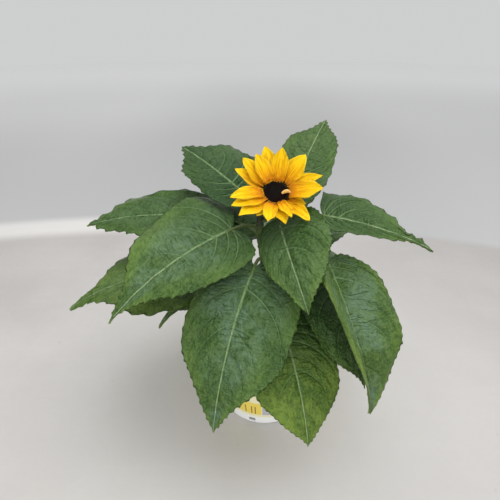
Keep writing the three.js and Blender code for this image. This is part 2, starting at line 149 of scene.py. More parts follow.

# Leaves. Shape, as in the solids: height of the node on the stem, the point where stalk and blade
# meet, heading and pitch of the midrib there, how far it bends sideways and droops by its tip,
# roll, length and width; then where the blade is widest, how far its lobes reach back, how
# pointed it is, its drawn-out tail, how much wider the left half is, and how far each half folds
# up and curves down. Looks: tone from 0, dark and bluish, to 1, yellow; how much yellower the tip
# is; a painted bluish sheen; painted shade over the whole blade and painted shadow at its foot;
# how ragged its edge is, and its teeth.
LEAVES = {
    "leaf_front": dict(
        node=150, joint=(-12, -32, 166), heading=-111, bend=4, pitch=-25, droop=45, roll=-3,
        length=118, width=77, skew=0.07, camber=25, tone=0.3, bloom=1),
    "leaf_left_top": dict(
        node=180, joint=(-27.8, -13.3, 190.3), heading=-142, bend=-4, pitch=-5.5, droop=38,
        roll=-8, length=110, width=83, wide=0.59, lobe_left=0.16, lobe_right=0.3, acute=0.79,
        skew=-0.23, fold_left=-5, fold_right=11, camber=17, tone=0.36, bloom=0.85, shadow=0.6,
        ragged=1.3, teeth=21),
    "leaf_right_top": dict(
        node=186, joint=(8.4, -3, 192), heading=-87, bend=19, pitch=-5, droop=40, roll=14,
        length=83, width=52.5, wide=0.71, lobe_left=0.13, lobe_right=0.2, acute=0.16, skew=0.22,
        fold_left=31, fold_right=-8, camber=29, tone=0.3, bloom=0.3, dim=0.22, shadow=0.55,
        ragged=1.2),
    "leaf_right_front": dict(
        node=160, joint=(47, -15, 161.5), heading=-81, bend=22, pitch=-16, droop=66, roll=3,
        length=120, width=69, wide=0.95, lobe=0.2, acute=0.16, skew=0.1,
        fold_left=4, fold_right=58, camber=10, tone=0.45, tone_right=0.8, bloom=1),
    "leaf_low_right_front": dict(
        node=125, joint=(44, -19, 145), heading=-64, pitch=-25, droop=38,
        length=86, width=54, lobe=0.36, tone=0.2, shadow=0.7),
    "leaf_low_front": dict(
        node=118, joint=(11, -48, 125), heading=-75, pitch=-23, droop=48,
        length=87, width=66, lobe_left=0.35, acute=0.44, tone=0.42, ripen=1, bloom=0.05, shadow=1),
    "leaf_left_low": dict(
        node=139, joint=(-46, 1, 146), heading=-165, bend=-1, pitch=9, droop=44, roll=-6,
        length=122, width=87, lobe_left=0.19, lobe_right=0.2, acute=0.48, skew=0.02, tail=0.1,
        tone=0.6, bloom=0.3, ragged=1.6, teeth=14),
    "leaf_low_left": dict(
        node=120, joint=(-34, -18, 139), heading=-166, bend=5, pitch=-2, droop=57,
        length=66, width=38, tail=0.25, tone=0.55),
    "leaf_left_back": dict(
        node=172, joint=(-30.5, 13, 184), heading=170, bend=5, pitch=5, droop=25, roll=-16,
        length=129, width=56, wide=0.9, lobe_right=0.45, acute=0.56, skew=-0.2,
        tone=0.2, bloom=0.2, dim=0.32, ragged=2.5, teeth=12),
    "leaf_right_back": dict(
        node=176, joint=(44, 5, 193), heading=-11, bend=1, pitch=-6, droop=21, roll=15,
        length=91, width=46, wide=0.68, lobe_left=0.17, lobe_right=0.29, acute=0.52, skew=0.32,
        tail=0.2, camber=10, tone=0.25, bloom=0, dim=0.42, ragged=2.5, teeth=11),
    "leaf_back_left": dict(
        node=192, joint=(-22, 20, 208), heading=131, pitch=16, droop=10, roll=-14,
        length=85, width=58, wide=0.85, lobe_left=0.35, lobe_right=0.2, acute=0.65, skew=-0.21,
        tone=0.1, bloom=0, dim=0.65, ragged=2.2, teeth=14),
    "leaf_back_right": dict(
        node=196, joint=(22, 22.5, 213), heading=65, bend=-2, pitch=28, droop=7,
        length=84, width=50, wide=0.85, lobe_left=0.2, lobe_right=0.45, acute=0.52, skew=0.1,
        camber=24, tone=0.38, bloom=0.15, dim=0.35, ragged=1.5, teeth=18),
    "leaf_low_right": dict(
        node=150, joint=(26, 22, 163), heading=54, pitch=2, droop=40, roll=-1,
        length=98, width=60, lobe_right=0.35, tone=0.2),
    "leaf_back_low": dict(
        node=128, joint=(2, 44, 156), heading=95, bend=-6, pitch=-5, droop=55,
        length=104, width=74, tone=0.3),
    "leaf_back_low_left": dict(
        node=125, joint=(-34, 36, 144), heading=145, bend=6, pitch=-5, droop=55,
        length=96, width=66, tone=0.45),
    "leaf_back_low_right": dict(
        node=112, joint=(30, 34, 140), heading=28, bend=-6, pitch=-10, droop=55,
        length=92, width=64, tone=0.6),
}
LEAF_DEFAULTS = dict(
    bend=0, roll=0, skew=0, lobe=0.3, acute=0.6, wide=0.8, tail=0, fold=8, camber=20,
    fold_left=None, fold_right=None, lobe_left=None, lobe_right=None, ragged=1,
    tone_right=None, ripen=0.15, bloom=0.6, dim=0, shadow=0.35, teeth=25)
# Height of teeth and of the waves near the edge, as shares of the length
TOOTH = 0.012
RIPPLE = 0.016
# Size of a blade beside its solid, which leaves room for its relief
TRIM = 0.996
TAIL_HALF_WIDTH = 2.2
BLADE_THICK = 0.5
# Relief of a blade: how high it swells and how much it creases between veins, as shares of the
# gap, and how far the creases lie apart; how far a vein sinks into the face and stands out behind
SWELL = 0.045
CREASE = 0.03
CREASE_PITCH = 4.4
VEIN_SUNK = 0.32
VEIN_RIDGE = 0.55
# Where veins meet the edge, as shares of it: from the joint itself, then from the midrib
FAN_VEINS = (0.06, 0.13, 0.205, 0.28, 0.365)
SIDE_VEINS = (0.46, 0.55, 0.64, 0.72, 0.8, 0.87, 0.94)
FAN_END = 0.38
# How far the veins bow, and how bold each of them is
VEIN_BOW = 0.64
VEIN_BOLDNESS = np.array([0.15, 0.2, 0.3, 0.5, 1.0, 0.6, 0.75, 0.4, 0.55, 0.35, 0.4, 0.25])
# Rows of points beside each vein and between veins, and columns from the midrib to the edge
VEIN_ROWS = (-0.009, -0.004, 0, 0.004, 0.009)
FILL_ROWS = 113
ROW_GAP = 0.0032
BLADE_COLUMNS = np.concatenate([
    [0, 0.013, 0.03, 0.055], np.linspace(0.085, 0.93, 26), [0.955, 0.98, 1]])[None, :]

# Floor, in metres: the near floor ends behind the pot on a wide arc, of which FLOOR_CENTRE is
# the centre, and places on the floor are measured from FLOOR_REACH outwards
FLOOR_DROP = 0.3 * MM
FLOOR_RINGS = (0.00001, 0.3, 0.9, 4)
FLOOR_SIDES = 96
FLOOR_CENTRE = (-0.157, -1.19, 0)
FLOOR_REACH = 1.2
FLOOR_EDGE = 0.372
FLOOR_DARK = (0.512, 0.490, 0.472)
FLOOR_PALE = (0.573, 0.552, 0.532)
FLOOR_SHADE = (0.30, 0.29, 0.285)
# FLOOR_FARTHER is the lighter grey the far floor is painted towards further off, as painted light
FLOOR_FAR = (0.52, 0.52, 0.52)
FLOOR_FARTHER = (0.74, 0.74, 0.74)

# Light and camera, in metres: each lamp's name, place, size and power
WORLD_COLOUR = (0.99, 1.0, 1.0, 1)
WORLD_LIGHT = 0.62
LAMPS = [
    ("top_lamp", (0.30, 0.05, 1.15), 1.1, 11),
    ("front_lamp", (-0.2, -1.3, 0.75), 1.2, 6),
    ("low_lamp", (0.1, -0.9, 0.10), 0.5, 0.7),
]
LAMP_AIM = Vector((0, 0, 0.12))
SENSOR_WIDTH = 36
PICTURE_WIDTH = 500
CAMERA_FOCUS = 376
CAMERA_PLACE = (-0.014, -0.262, 0.322)
CAMERA_DOWN = 31


# Meshes


class Heap:
    """Points and faces, with numbers marked on the points, that become one mesh."""

    def __init__(self):
        self.points = []
        self.faces = []
        self.marks = {}
        self.total = 0

    def add(self, points, *faces, **marks):
        points = np.asarray(points, float).reshape(-1, 3)
        for name, value in marks.items():
            spread = np.broadcast_to(np.ravel(value), (len(points),)).astype(float)
            self.marks.setdefault(name, []).append(spread)
        self.faces += [some + self.total for some in faces]
        self.points.append(points)
        self.total += len(points)

    def build(self, name, finish, weld=0.0):
        mesh = bpy.data.meshes.new(name)
        faces = [face for some in self.faces for face in some.tolist()]
        mesh.from_pydata((np.concatenate(self.points) * MM).tolist(), [], faces)
        for mark, values in self.marks.items():
            kept = mesh.attributes.new(mark, "FLOAT", "POINT")
            kept.data.foreach_set("value", np.concatenate(values))
        if weld:
            shape = bmesh.new()
            shape.from_mesh(mesh)
            bmesh.ops.remove_doubles(shape, verts=shape.verts, dist=weld * MM)
            shape.to_mesh(mesh)
            shape.free()
        if "plan_x" in self.marks:
            lay_flat(mesh)
        mesh.shade_smooth()
        mesh.materials.append(finish)
        made = bpy.data.objects.new(name, mesh)
        bpy.context.scene.collection.objects.link(made)
        return made


def lay_flat(mesh):
    """A map of the surface, from the two places marked on its points."""
    flat = np.zeros((len(mesh.vertices), 2))
    for column, mark in enumerate(("plan_x", "plan_y")):
        values = np.zeros(len(flat))
        mesh.attributes[mark].data.foreach_get("value", values)
        flat[:, column] = values
    corners = np.zeros(len(mesh.loops), int)
    mesh.loops.foreach_get("vertex_index", corners)
    layer = mesh.uv_layers.new(name="plan")
    layer.uv.foreach_set("vector", flat[corners].ravel())


def settle(heap, name, finish, slot, *nodes, weld=0.0):
    """Makes a heap into a piece of the plant, which stands for the solids named by nodes."""
    piece = heap.build(name, finish, weld)
    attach(piece, "root")
    if nodes:
        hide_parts(*nodes)


def grid_faces(rows, columns, around=False, flip=False):
    """Four-sided faces of a grid of points, closed across its columns if around."""
    row = np.arange(rows - 1)[:, None] * columns
    j = np.arange(columns if around else columns - 1)
    a, b = row + j, row + (j + 1) % columns
    order = (a, a + columns, b + columns, b) if flip else (a, b, b + columns, a + columns)
    return np.stack(order, -1).reshape(-1, 4)


def unit(v):
    return v / np.linalg.norm(v, axis=-1, keepdims=True).clip(1e-9)


def bell(distance, width):
    return np.exp(-((distance / width) ** 2))


def ring(sides):
    """Angles all round, in radians."""
    return np.linspace(0, 2 * np.pi, sides, endpoint=False)


def turned(profile, sides, wobble=None):
    """A turned form from a list of (radius, height); wobble(radius, angle) shapes its rings."""
    angle = ring(sides)
    r, z = (np.repeat(column[:, None], sides, 1) for column in np.array(profile, float).T)
    if wobble:
        r = wobble(r, angle)
    points = np.stack([r * np.cos(angle), r * np.sin(angle), z], -1)
    return points.reshape(-1, 3), grid_faces(len(profile), sides, around=True)


def across_line(line):
    """Two directions across each point of a line, carried along it without twist."""
    along = unit(np.gradient(line, axis=0))
    across = np.zeros_like(line)
    last = np.array([1.0, 0, 0])
    for i, direction in enumerate(along):
        last = unit(last - direction * (last @ direction))
        across[i] = last
    return across, np.cross(along, across)


def swept(line, radii, sides, section=None):
    """A tapering closed bar along a line: points, sides and end caps. section(angle) shapes it."""
    line = np.asarray(line, float)
    across, third = across_line(line)
    angle = ring(sides)
    scale = np.ones_like(angle) if section is None else section(angle)
    reach = np.asarray(radii, float)[:, None] * scale
    points = line[:, None] + reach[..., None] * (
        np.cos(angle)[:, None] * across[:, None] + np.sin(angle)[:, None] * third[:, None])
    points = np.concatenate([points.reshape(-1, 3), line[:1], line[-1:]])
    first = len(line) * sides
    end = first - sides
    k = np.arange(sides)
    n = (k + 1) % sides
    caps = np.concatenate([
        np.stack([np.full(sides, first), n, k], -1),
        np.stack([np.full(sides, first + 1), end + k, end + n], -1)])
    return points, grid_faces(len(line), sides, around=True), caps


def bristles(heap, roots, directions, length, rng):
    """Fine three-sided hairs standing on a surface."""
    count = len(roots)
    directions = unit(directions + rng.normal(0, 0.35, (count, 3)))
    tall = length * rng.uniform(0.5, 1.0, (count, 1))
    side = unit(np.cross(directions, rng.normal(0, 1, (count, 3))))
    other = np.cross(directions, side)
    foot = roots - directions * HAIR_ROOT
    corners = [foot + HAIR_R * (math.cos(a) * side + math.sin(a) * other) for a in (0, 2.1, 4.2)]
    points = np.stack(corners + [foot + directions * (tall + HAIR_ROOT)], 1)
    base = np.arange(count)[:, None, None] * 4
    pattern = np.array([(0, 1, 3), (1, 2, 3), (2, 0, 3), (0, 2, 1)])
    heap.add(points, (base + pattern).reshape(-1, 3))


# Materials


class Wire:
    """A number, colour or direction on its way through a material; + - * / and ** work on it."""

    def __init__(self, finish, socket):
        self.finish = finish
        self.socket = socket

    def reckon(self, operation, first, second):
        kinds = [w.socket.type for w in (first, second) if isinstance(w, Wire)]
        maths = "ShaderNodeMath" if set(kinds) == {"VALUE"} else "ShaderNodeVectorMath"
        return self.finish.node(maths, {"operation": operation}, {0: first, 1: second})

    def __add__(self, other):
        return self.reckon("ADD", self, other)

    __radd__ = __add__

    def __sub__(self, other):
        return self.reckon("SUBTRACT", self, other)

    def __rsub__(self, other):
        return self.reckon("SUBTRACT", other, self)

    def __mul__(self, other):
        return self.reckon("MULTIPLY", self, other)

    __rmul__ = __mul__

    def __truediv__(self, other):
        return self.reckon("DIVIDE", self, other)

    def __pow__(self, other):
        return self.reckon("POWER", self, other)


class Finish:
    """One material, written as expressions on wires. Its colour is built up in washes."""

    def __init__(self, name, **settings):
        self.material = bpy.data.materials.new(name)
        self.material.use_nodes = True
        self.tree = self.material.node_tree
        self.shader = self.tree.nodes["Principled BSDF"]
        self.colour = None
        self.shade(**settings)

    def node(self, kind, settings=None, sockets=None, output=0):
        made = self.tree.nodes.new(kind)
        for name, value in (settings or {}).items():
            if name == "stops":
                self.set_stops(made.color_ramp, value)
            else:
                setattr(made, name, value)
        for name, value in (sockets or {}).items():
            self.feed(made.inputs[name], value)
        return Wire(self, made.outputs[output])

    def set_stops(self, ramp, stops):
        while len(ramp.elements) < len(stops):
            ramp.elements.new(0.5)
        for element, (place, colour) in zip(ramp.elements, stops):
            element.position = place
            element.color = (*colour, 1)

    def feed(self, socket, value):
        if isinstance(value, Wire):
            self.tree.links.new(value.socket, socket)
        elif hasattr(socket.default_value, "__len__"):
            size = len(socket.default_value)
            values = (value,) * 3 if isinstance(value, (int, float)) else tuple(value)
            socket.default_value = (*values, 1)[:size]
        else:
            socket.default_value = value

    def shade(self, **sockets):
        for name, value in sockets.items():
            self.feed(self.shader.inputs[name.replace("_", " ")], value)

    def place(self):
        return self.node("ShaderNodeTexCoord", output="Object")

    def plan(self):
        return self.node("ShaderNodeUVMap", {"uv_map": "plan"})

    def mark(self, name):
        return self.node("ShaderNodeAttribute", {"attribute_name": name}, output="Fac")

    def part(self, wire, axis):
        return self.node("ShaderNodeSeparateXYZ", None, {0: wire}, output=axis)

    def length(self, wire):
        return self.node("ShaderNodeVectorMath", {"operation": "LENGTH"}, {0: wire}, "Value")

    def function(self, operation, wire, other=0.0):
        return self.node("ShaderNodeMath", {"operation": operation}, {0: wire, 1: other})

    def noise(self, where, scale, detail=4.0, rough=0.55):
        sockets = {"Vector": where, "Scale": scale, "Detail": detail, "Roughness": rough}
        return self.node("ShaderNodeTexNoise", None, sockets)

    def cells(self, where, scale, feature="F1"):
        sockets = {"Vector": where, "Scale": scale}
        return self.node("ShaderNodeTexVoronoi", {"feature": feature}, sockets, "Distance")

    def smooth(self, wire, low, high, start=0.0, end=1.0):
        """From start to end as the wire goes from low to high."""
        settings = {"interpolation_type": "SMOOTHSTEP"}
        sockets = {"Value": wire, "From Min": low, "From Max": high, "To Min": start, "To Max": end}
        return self.node("ShaderNodeMapRange", settings, sockets)

    def fade(self, wire, low, high):
        return self.smooth(wire, low, high, 1.0, 0.0)

    def band(self, wire, low, high, soft):
        """1 between low and high, 0 outside, with soft edges."""
        return self.smooth(wire, low - soft, low + soft) * self.fade(wire, high - soft, high + soft)

    def mix(self, share, first, second):
        settings = {"data_type": "RGBA"}
        return self.node("ShaderNodeMix", settings, {0: share, 6: first, 7: second}, output=2)

    def wash(self, share, colour):
        """Lays a colour over the last one, as strongly as share says."""
        self.colour = self.mix(share, self.colour, colour)

    def done(self, roughness, relief, depth, strength=1.0):
        """The material, with its colour, roughness, and relief of a depth in metres."""
        sockets = {"Height": relief, "Distance": depth, "Strength": strength}
        normal = self.node("ShaderNodeBump", None, sockets)
        self.shade(Base_Color=self.colour, Roughness=roughness, Normal=normal)
        return self.material


def leaf_skin():
    """Waxy green blade: pale veins, a painted bluish sheen in the middle, yellower edge and
    underside.
    """
    f = Finish("leaf_skin", Specular_IOR_Level=0.25)
    plan = f.plan()
    tone, vein, edge, along = (f.mark(name) for name in ("tone", "vein", "edge", "along"))
    clouds = f.noise(plan, 3.2, 3.0)
    quilt = f.noise(plan, 10.0, 1.0)
    mottle = f.noise(plan, 60.0, 3.0, 0.6)
    crinkle = f.noise(plan + 0.04 * f.noise(plan, 16.0, 2.0), 30.0, 2.0, 0.5)
    waves = f.noise((plan + 0.05 * f.noise(plan, 8.0, 2.0)) * (24.0, 5.0, 1.0), 1.0, 1.0, 0.4)
    creased = 0.04 + 0.96 * (f.fade(edge, 0.2, 0.7) * f.fade(along, 0.35, 0.75))
    wrinkle_shade = f.fade(f.function("ABSOLUTE", waves - 0.5), 0.0, 0.065)
    wrinkle_shade = wrinkle_shade * creased * f.smooth(quilt, 0.35, 0.6)
    net = f.fade(f.cells(plan + 0.05 * mottle, 42.0, "DISTANCE_TO_EDGE"), 0.0, 0.16)
    high = f.smooth(crinkle, 0.38, 0.62)
    groove = f.mark("groove") * f.fade(vein, 0.2, 0.6)
    dark = f.mix(tone, (0.015, 0.052, 0.012), (0.046, 0.100, 0.010))
    light = f.mix(tone, (0.066, 0.142, 0.045), (0.168, 0.255, 0.034))
    # Painted light and shade over the tone: lighter on bulges and crinkle tops (high), darker in
    # creases.
    clouds_and_relief_shade = clouds + 0.2 * f.mark("pucker") + 0.2 * (high - 0.5)
    f.colour = f.mix(f.smooth(clouds_and_relief_shade, 0.31, 0.97), dark, light)
    f.wash(f.smooth(mottle, 0.40, 0.65) * 0.32, light)
    # Painted bluish sheen, stronger on the crinkle tops.
    bloom = f.fade(edge, 0.3, 0.9) * f.mark("bloom") * f.smooth(clouds, 0.35, 0.6)
    f.wash(bloom * (0.3 + 0.4 * high), (0.110, 0.190, 0.140))
    rim = f.smooth(edge, 0.45, 1.0) * f.smooth(clouds + 0.3 * mottle, 0.45, 0.75)
    f.wash(rim * 0.36, f.mix(tone, (0.105, 0.205, 0.040), (0.190, 0.290, 0.040)))
    # Painted shade in the vein grooves, and a painted highlight on their flanks.
    f.wash(f.smooth(groove, 0.1, 0.8) * 0.24, dark)
    f.wash(f.smooth(0 - groove, 0.05, 0.5) * 0.3, (0.120, 0.210, 0.115))
    # Painted shadow at the foot of the blade, and painted shade over the whole blade.
    f.wash(f.fade(along, -0.1, 0.6) * f.mark("shadow") + f.mark("dim"), dark)
    # Painted shade in the wrinkles.
    f.wash(wrinkle_shade * 0.34, dark)
    f.wash(net * 0.08, (0.10, 0.17, 0.05))
    line = f.mix(f.smooth(vein, 0.78, 1.0), (0.17, 0.28, 0.11), (0.56, 0.64, 0.38))
    f.wash(f.smooth(vein, 0.08, 0.6) * 0.8, line)
    back = f.mix(f.smooth(clouds, 0.3, 0.7), (0.105, 0.185, 0.040), (0.165, 0.255, 0.065))
    f.wash(f.mark("under"), f.mix(vein * 0.7, back, (0.34, 0.43, 0.17)))
    roughness = f.smooth(mottle + 0.3 * vein, 0.3, 0.9, 0.28, 0.50)
    relief = crinkle * 1.05 + quilt * 1.3 + mottle * 0.5 - wrinkle_shade * 0.35 - groove * 0.3
    return f.done(roughness, relief, 0.0022)


def stalk_skin():
    """Pale green stalk and stem with fine lengthwise streaks, and painted shade that makes them
    nearly black under the flower.
    """
    f = Finish("stalk_skin", Specular_IOR_Level=0.35)
    place = f.place()
    streaks = f.noise(place * (900, 900, 60), 1.0, 3.0)
    blotch = f.noise(place, 90.0, 3.0)
    f.colour = f.mix(f.smooth(streaks, 0.35, 0.7), (0.08, 0.14, 0.03), (0.17, 0.245, 0.065))
    f.wash(f.smooth(blotch, 0.5, 0.75) * 0.5, (0.22, 0.21, 0.08))
    # Painted shade, nearly black, under the flower.
    f.wash(f.mark("neck") * 0.95, (0.018, 0.014, 0.012))
    return f.done(f.smooth(streaks, 0.2, 0.8, 0.5, 0.7), streaks + 0.4 * blotch, 0.0003, 0.6)


def bract_skin():
    """Hairy green bracts and flower base, darker at their tips."""
    f = Finish("bract_skin", Specular_IOR_Level=0.3)
    mottle = f.noise(f.place(), 260.0, 4.0)
    f.colour = f.mix(f.smooth(mottle, 0.35, 0.7), (0.055, 0.125, 0.03), (0.14, 0.24, 0.06))
    f.wash(f.smooth(f.mark("along"), 0.5, 1.0) * 0.5, (0.04, 0.10, 0.03))
    return f.done(f.smooth(mottle, 0.2, 0.8, 0.55, 0.75), mottle, 0.0003, 0.5)


def hair_skin():
    f = Finish("hair_skin", Roughness=0.6, Specular_IOR_Level=0.3)
    f.shade(Base_Color=f.mix(f.noise(f.place(), 200.0), (0.42, 0.47, 0.27), (0.62, 0.64, 0.45)))
    return f.material


def petal_skin():
    """Golden petal: burnt orange at its foot, paler at tip and edges, fine lengthwise lines, and
    painted shade in the valleys between its ribs.
    """
    f = Finish("petal_skin", Specular_IOR_Level=0.12)
    plan = f.plan()
    along = f.mark("along")
    lines = f.noise(plan * (1.2, 42.0, 1.0), 1.6, 3.0)
    ribs = f.noise(plan * (0.5, 7.0, 1.0), 1.4, 2.0)
    clouds = f.noise(plan, 3.0, 3.0)
    foot_to_tip = [
        (0.0, (0.22, 0.045, 0.002)), (0.10, (0.55, 0.17, 0.002)), (0.28, (0.84, 0.40, 0.002)),
        (0.55, (0.95, 0.58, 0.003)), (1.0, (0.98, 0.71, 0.012))]
    shifted = along + (clouds - 0.5) * 0.25
    f.colour = f.node("ShaderNodeValToRGB", {"stops": foot_to_tip}, {"Fac": shifted})
    f.wash(f.smooth(lines, 0.42, 0.62) * 0.16, (0.66, 0.26, 0.002))
    # Painted shade in the valleys between the ribs, most near the foot.
    valley_shade = f.smooth(ribs, 0.46, 0.64) * (1 - 0.6 * f.smooth(along, 0.3, 0.9))
    f.wash(valley_shade * 0.75, (0.60, 0.21, 0.002))
    f.wash(f.smooth(clouds, 0.5, 0.8) * 0.3, (0.98, 0.62, 0.010))
    pale = f.smooth(f.mark("across"), 0.7, 1.0) * f.smooth(along, 0.35, 0.8)
    f.wash(pale * 0.5, (1.0, 0.76, 0.06))
    back = f.mix(f.smooth(lines, 0.4, 0.6) * 0.5, (0.86, 0.52, 0.015), (0.62, 0.38, 0.02))
    f.wash(f.mark("under"), back)
    roughness = f.smooth(lines, 0.3, 0.7, 0.45, 0.62)
    return f.done(roughness, lines * 0.3 - ribs + clouds * 0.4, 0.0011, 0.9)


def plain_finish(name, dark, light, scale, rough, shine=0.3):
    """A finish that wanders between two colours, with a fine relief."""
    f = Finish(name, Specular_IOR_Level=shine)
    speck = f.noise(f.place(), scale, 5.0, 0.65)
    f.colour = f.mix(f.smooth(speck, 0.35, 0.68), dark, light)
    return f.done(f.smooth(speck, 0.2, 0.8, *rough), speck, 0.0003, 0.8)


def compost_skin():
    f = Finish("compost_skin", Specular_IOR_Level=0.25)
    place = f.place()
    grains = f.cells(place, 480.0)
    lumps = f.noise(place, 120.0, 6.0, 0.7)
    f.colour = f.mix(f.smooth(lumps, 0.35, 0.7), (0.010, 0.0065, 0.0045), (0.050, 0.030, 0.018))
    f.wash(f.fade(grains, 0.1, 0.5) * 0.4, (0.085, 0.055, 0.033))
    return f.done(f.smooth(lumps, 0.3, 0.7, 0.7, 0.95), lumps * 0.7 - grains * 0.5, 0.0012, 0.9)


def pot_print():
    """Cream satin plastic, white foot and rim, printed with plain panels under a soft tint."""
    f = Finish("pot_print", Specular_IOR_Level=0.5, Coat_Weight=0.15, Coat_Roughness=0.25)
    place = f.place() / MM
    east, north, height = (f.part(place, axis) for axis in "XYZ")
    around = f.function("ARCTAN2", north, east) * (PANELS / (2 * math.pi))
    around = around + (PANELS * 1.5 + PANEL_SHIFT)
    share = f.function("FRACT", around)
    odd = f.function("GREATER_THAN", f.function("FRACT", 0.5 * around), 0.5)
    panel = f.band(share, 0.015, 0.985, 0.004) * f.band(height, *PANEL_ROW, 0.15)
    from_left = share * (2 * math.pi * PRINT_R / PANELS)
    bars = sum(f.band(from_left, at, at + BAR_WIDTH, 0.12) for at in BARS_AT)
    bars = bars * f.band(height, *BAR_ROW, 0.3)
    lines = f.smooth(f.function("PINGPONG", height, HALF_LINE_PITCH), 0.42, 0.68)
    yellow = f.mix(bars, (0.95, 0.74, 0.11), (0.30, 0.14, 0.012))
    grey = f.mix(lines, (0.31, 0.31, 0.40), (0.72, 0.72, 0.74))
    tint = f.smooth(height, CREAM_TOP, TINT_TOP)
    f.colour = f.mix(tint, (0.80, 0.74, 0.50), (0.42, 0.52, 0.22))
    f.wash(f.function("LESS_THAN", height, CREAM_TOP) * 0.8, (0.97, 0.93, 0.62))
    f.wash(panel, f.mix(odd, yellow, grey))
    rim_foot = POT_HEIGHT - RIM_DROP - 0.6
    f.wash(f.smooth(height, rim_foot - 0.2, rim_foot + 0.2), (0.80, 0.80, 0.78))
    f.wash(f.fade(height, BAND_HEIGHT - 0.2, BAND_HEIGHT + 0.2), (0.95, 0.95, 0.95))
    mid_wall = height * WALL_SLOPE + (POT_BASE_R - BAND_HEIGHT * WALL_SLOPE - POT_WALL * 0.5)
    f.wash(f.fade(f.length(place * (1, 1, 0)) - mid_wall, -0.2, 0.2), (0.78, 0.78, 0.76))
    scuff = f.noise(place, 0.35, 5.0, 0.7)
    f.wash(f.smooth(scuff, 0.62, 0.8) * 0.16, (0.42, 0.36, 0.28))
    return f.done(f.smooth(scuff, 0.3, 0.8, 0.3, 0.48), scuff + 0.12 * panel, 0.0002, 0.35)


def floor_finish():
    """Pale worn floor, lightest round the pot by painted light, darker behind and right of it by
    painted shade; then grey, painted lighter further off, with painted shade to the right and
    behind the plant, and a painted glint on the left at its edge.
    """
    f = Finish("floor_finish", Specular_IOR_Level=0.1)
    place = f.place()
    east = f.part(place, "X")
    right = f.smooth(east, 0.0, 0.35)
    behind = f.smooth(f.part(place, "Y"), -0.1, 0.3)
    beside = f.smooth(east, -0.03, 0.12) * (1 - behind)
    away = f.length(place - FLOOR_CENTRE) - FLOOR_REACH
    cloud = f.noise(place, 7.0, 4.0, 0.55)
    grain = f.noise(place, 160.0, 4.0, 0.7)
    streak = f.noise(place * (6.0, 70.0, 1.0), 1.0, 3.0)
    speck = f.fade(f.cells(place, 38.0), 0.03, 0.09)
    # Far floor: painted lighter further off, with painted shade to the right and a painted shadow
    # straight behind the plant.
    f.colour = f.mix(f.smooth(away, FLOOR_EDGE + 0.05, 1.6), FLOOR_FAR, FLOOR_FARTHER)
    f.wash(right * 0.2, (0.30, 0.30, 0.30))
    f.wash(f.smooth(away, 0.9, 3.0), (0.98, 0.98, 0.98))
    shade_straight_behind = f.fade(f.function("ABSOLUTE", east - 0.03), 0.05, 0.65)
    f.wash(shade_straight_behind * f.smooth((away + 0.27) ** -1, 0.2, 0.9) * 0.5, (0.36, 0.36, 0.365))
    far = f.colour
    f.colour = f.mix(f.smooth(cloud, 0.35, 0.7), FLOOR_DARK, FLOOR_PALE)
    f.wash(f.smooth(grain, 0.35, 0.7) * 0.10, (0.40, 0.38, 0.36))
    f.wash(f.smooth(streak, 0.5, 0.8) * 0.12, (0.70, 0.69, 0.67))
    f.wash(speck * f.smooth(cloud, 0.5, 0.62) * 0.35, (0.22, 0.20, 0.18))
    # Painted light round the pot.
    f.wash(f.fade(f.length(place), 0.05, 0.4) * 0.5, (0.72, 0.705, 0.68))
    # Painted shade behind the pot, more on the right, and beside it on the right.
    f.wash(behind * (0.2 + 0.35 * right), FLOOR_SHADE)
    f.wash(beside * 0.3, FLOOR_SHADE)
    f.wash(f.smooth(away, FLOOR_EDGE - 0.012, FLOOR_EDGE + 0.018), far)
    glint = f.fade(f.function("ABSOLUTE", away - (FLOOR_EDGE - 0.01)), 0.01, 0.05)
    f.wash(f.fade(east, -0.32, -0.12) * glint * 0.7, (0.82, 0.80, 0.78))
    return f.done(f.smooth(grain, 0.3, 0.7, 0.75, 0.9), grain + 0.5 * cloud, 0.0004, 0.25)


# Stem and stalks


def through(points, steps=30):
    """A smooth line through points, the same centripetal curve as the solid's."""
    points = np.array(points, float)
    points = np.concatenate([[2 * points[0] - points[1]], points, [2 * points[-1] - points[-2]]])
    line = []
    for p0, p1, p2, p3 in zip(points, points[1:], points[2:], points[3:]):
        d0, d1, d2 = (np.linalg.norm(b - a) ** 0.5 for a, b in ((p0, p1), (p1, p2), (p2, p3)))
        start = ((p1 - p0) / d0 - (p2 - p0) / (d0 + d1) + (p2 - p1) / d1) * d1
        end = ((p2 - p1) / d1 - (p3 - p1) / (d1 + d2) + (p3 - p2) / d2) * d1
        for t in np.arange(steps) / steps:
            line.append(
                p1 + start * t
                + (3 * (p2 - p1) - 2 * start - end) * t * t
                + (2 * (p1 - p2) + start + end) * t ** 3)
    line.append(points[-2])
    return np.array(line)


STEM = through(STEM_LINE)


def stem_at(height):
    return np.array([np.interp(height, STEM[:, 2], STEM[:, k]) for k in range(3)])


def stem_radii():
    """Radii along the stem, which swells a little in the compost and at each leaf's node."""
    walked = np.concatenate([[0], np.cumsum(np.linalg.norm(np.diff(STEM, axis=0), axis=1))])
    height = STEM[:, 2]
    radii = STEM_FOOT_R + (STEM_NECK_R - STEM_FOOT_R) * walked / walked[-1]
    radii = radii + FOOT_SWELL * bell(height - SOIL_TOP, 60 ** 0.5)
    for leaf in LEAVES.values():
        radii = radii + NODE_SWELL * bell(height - leaf["node"], 6 ** 0.5)
    return radii


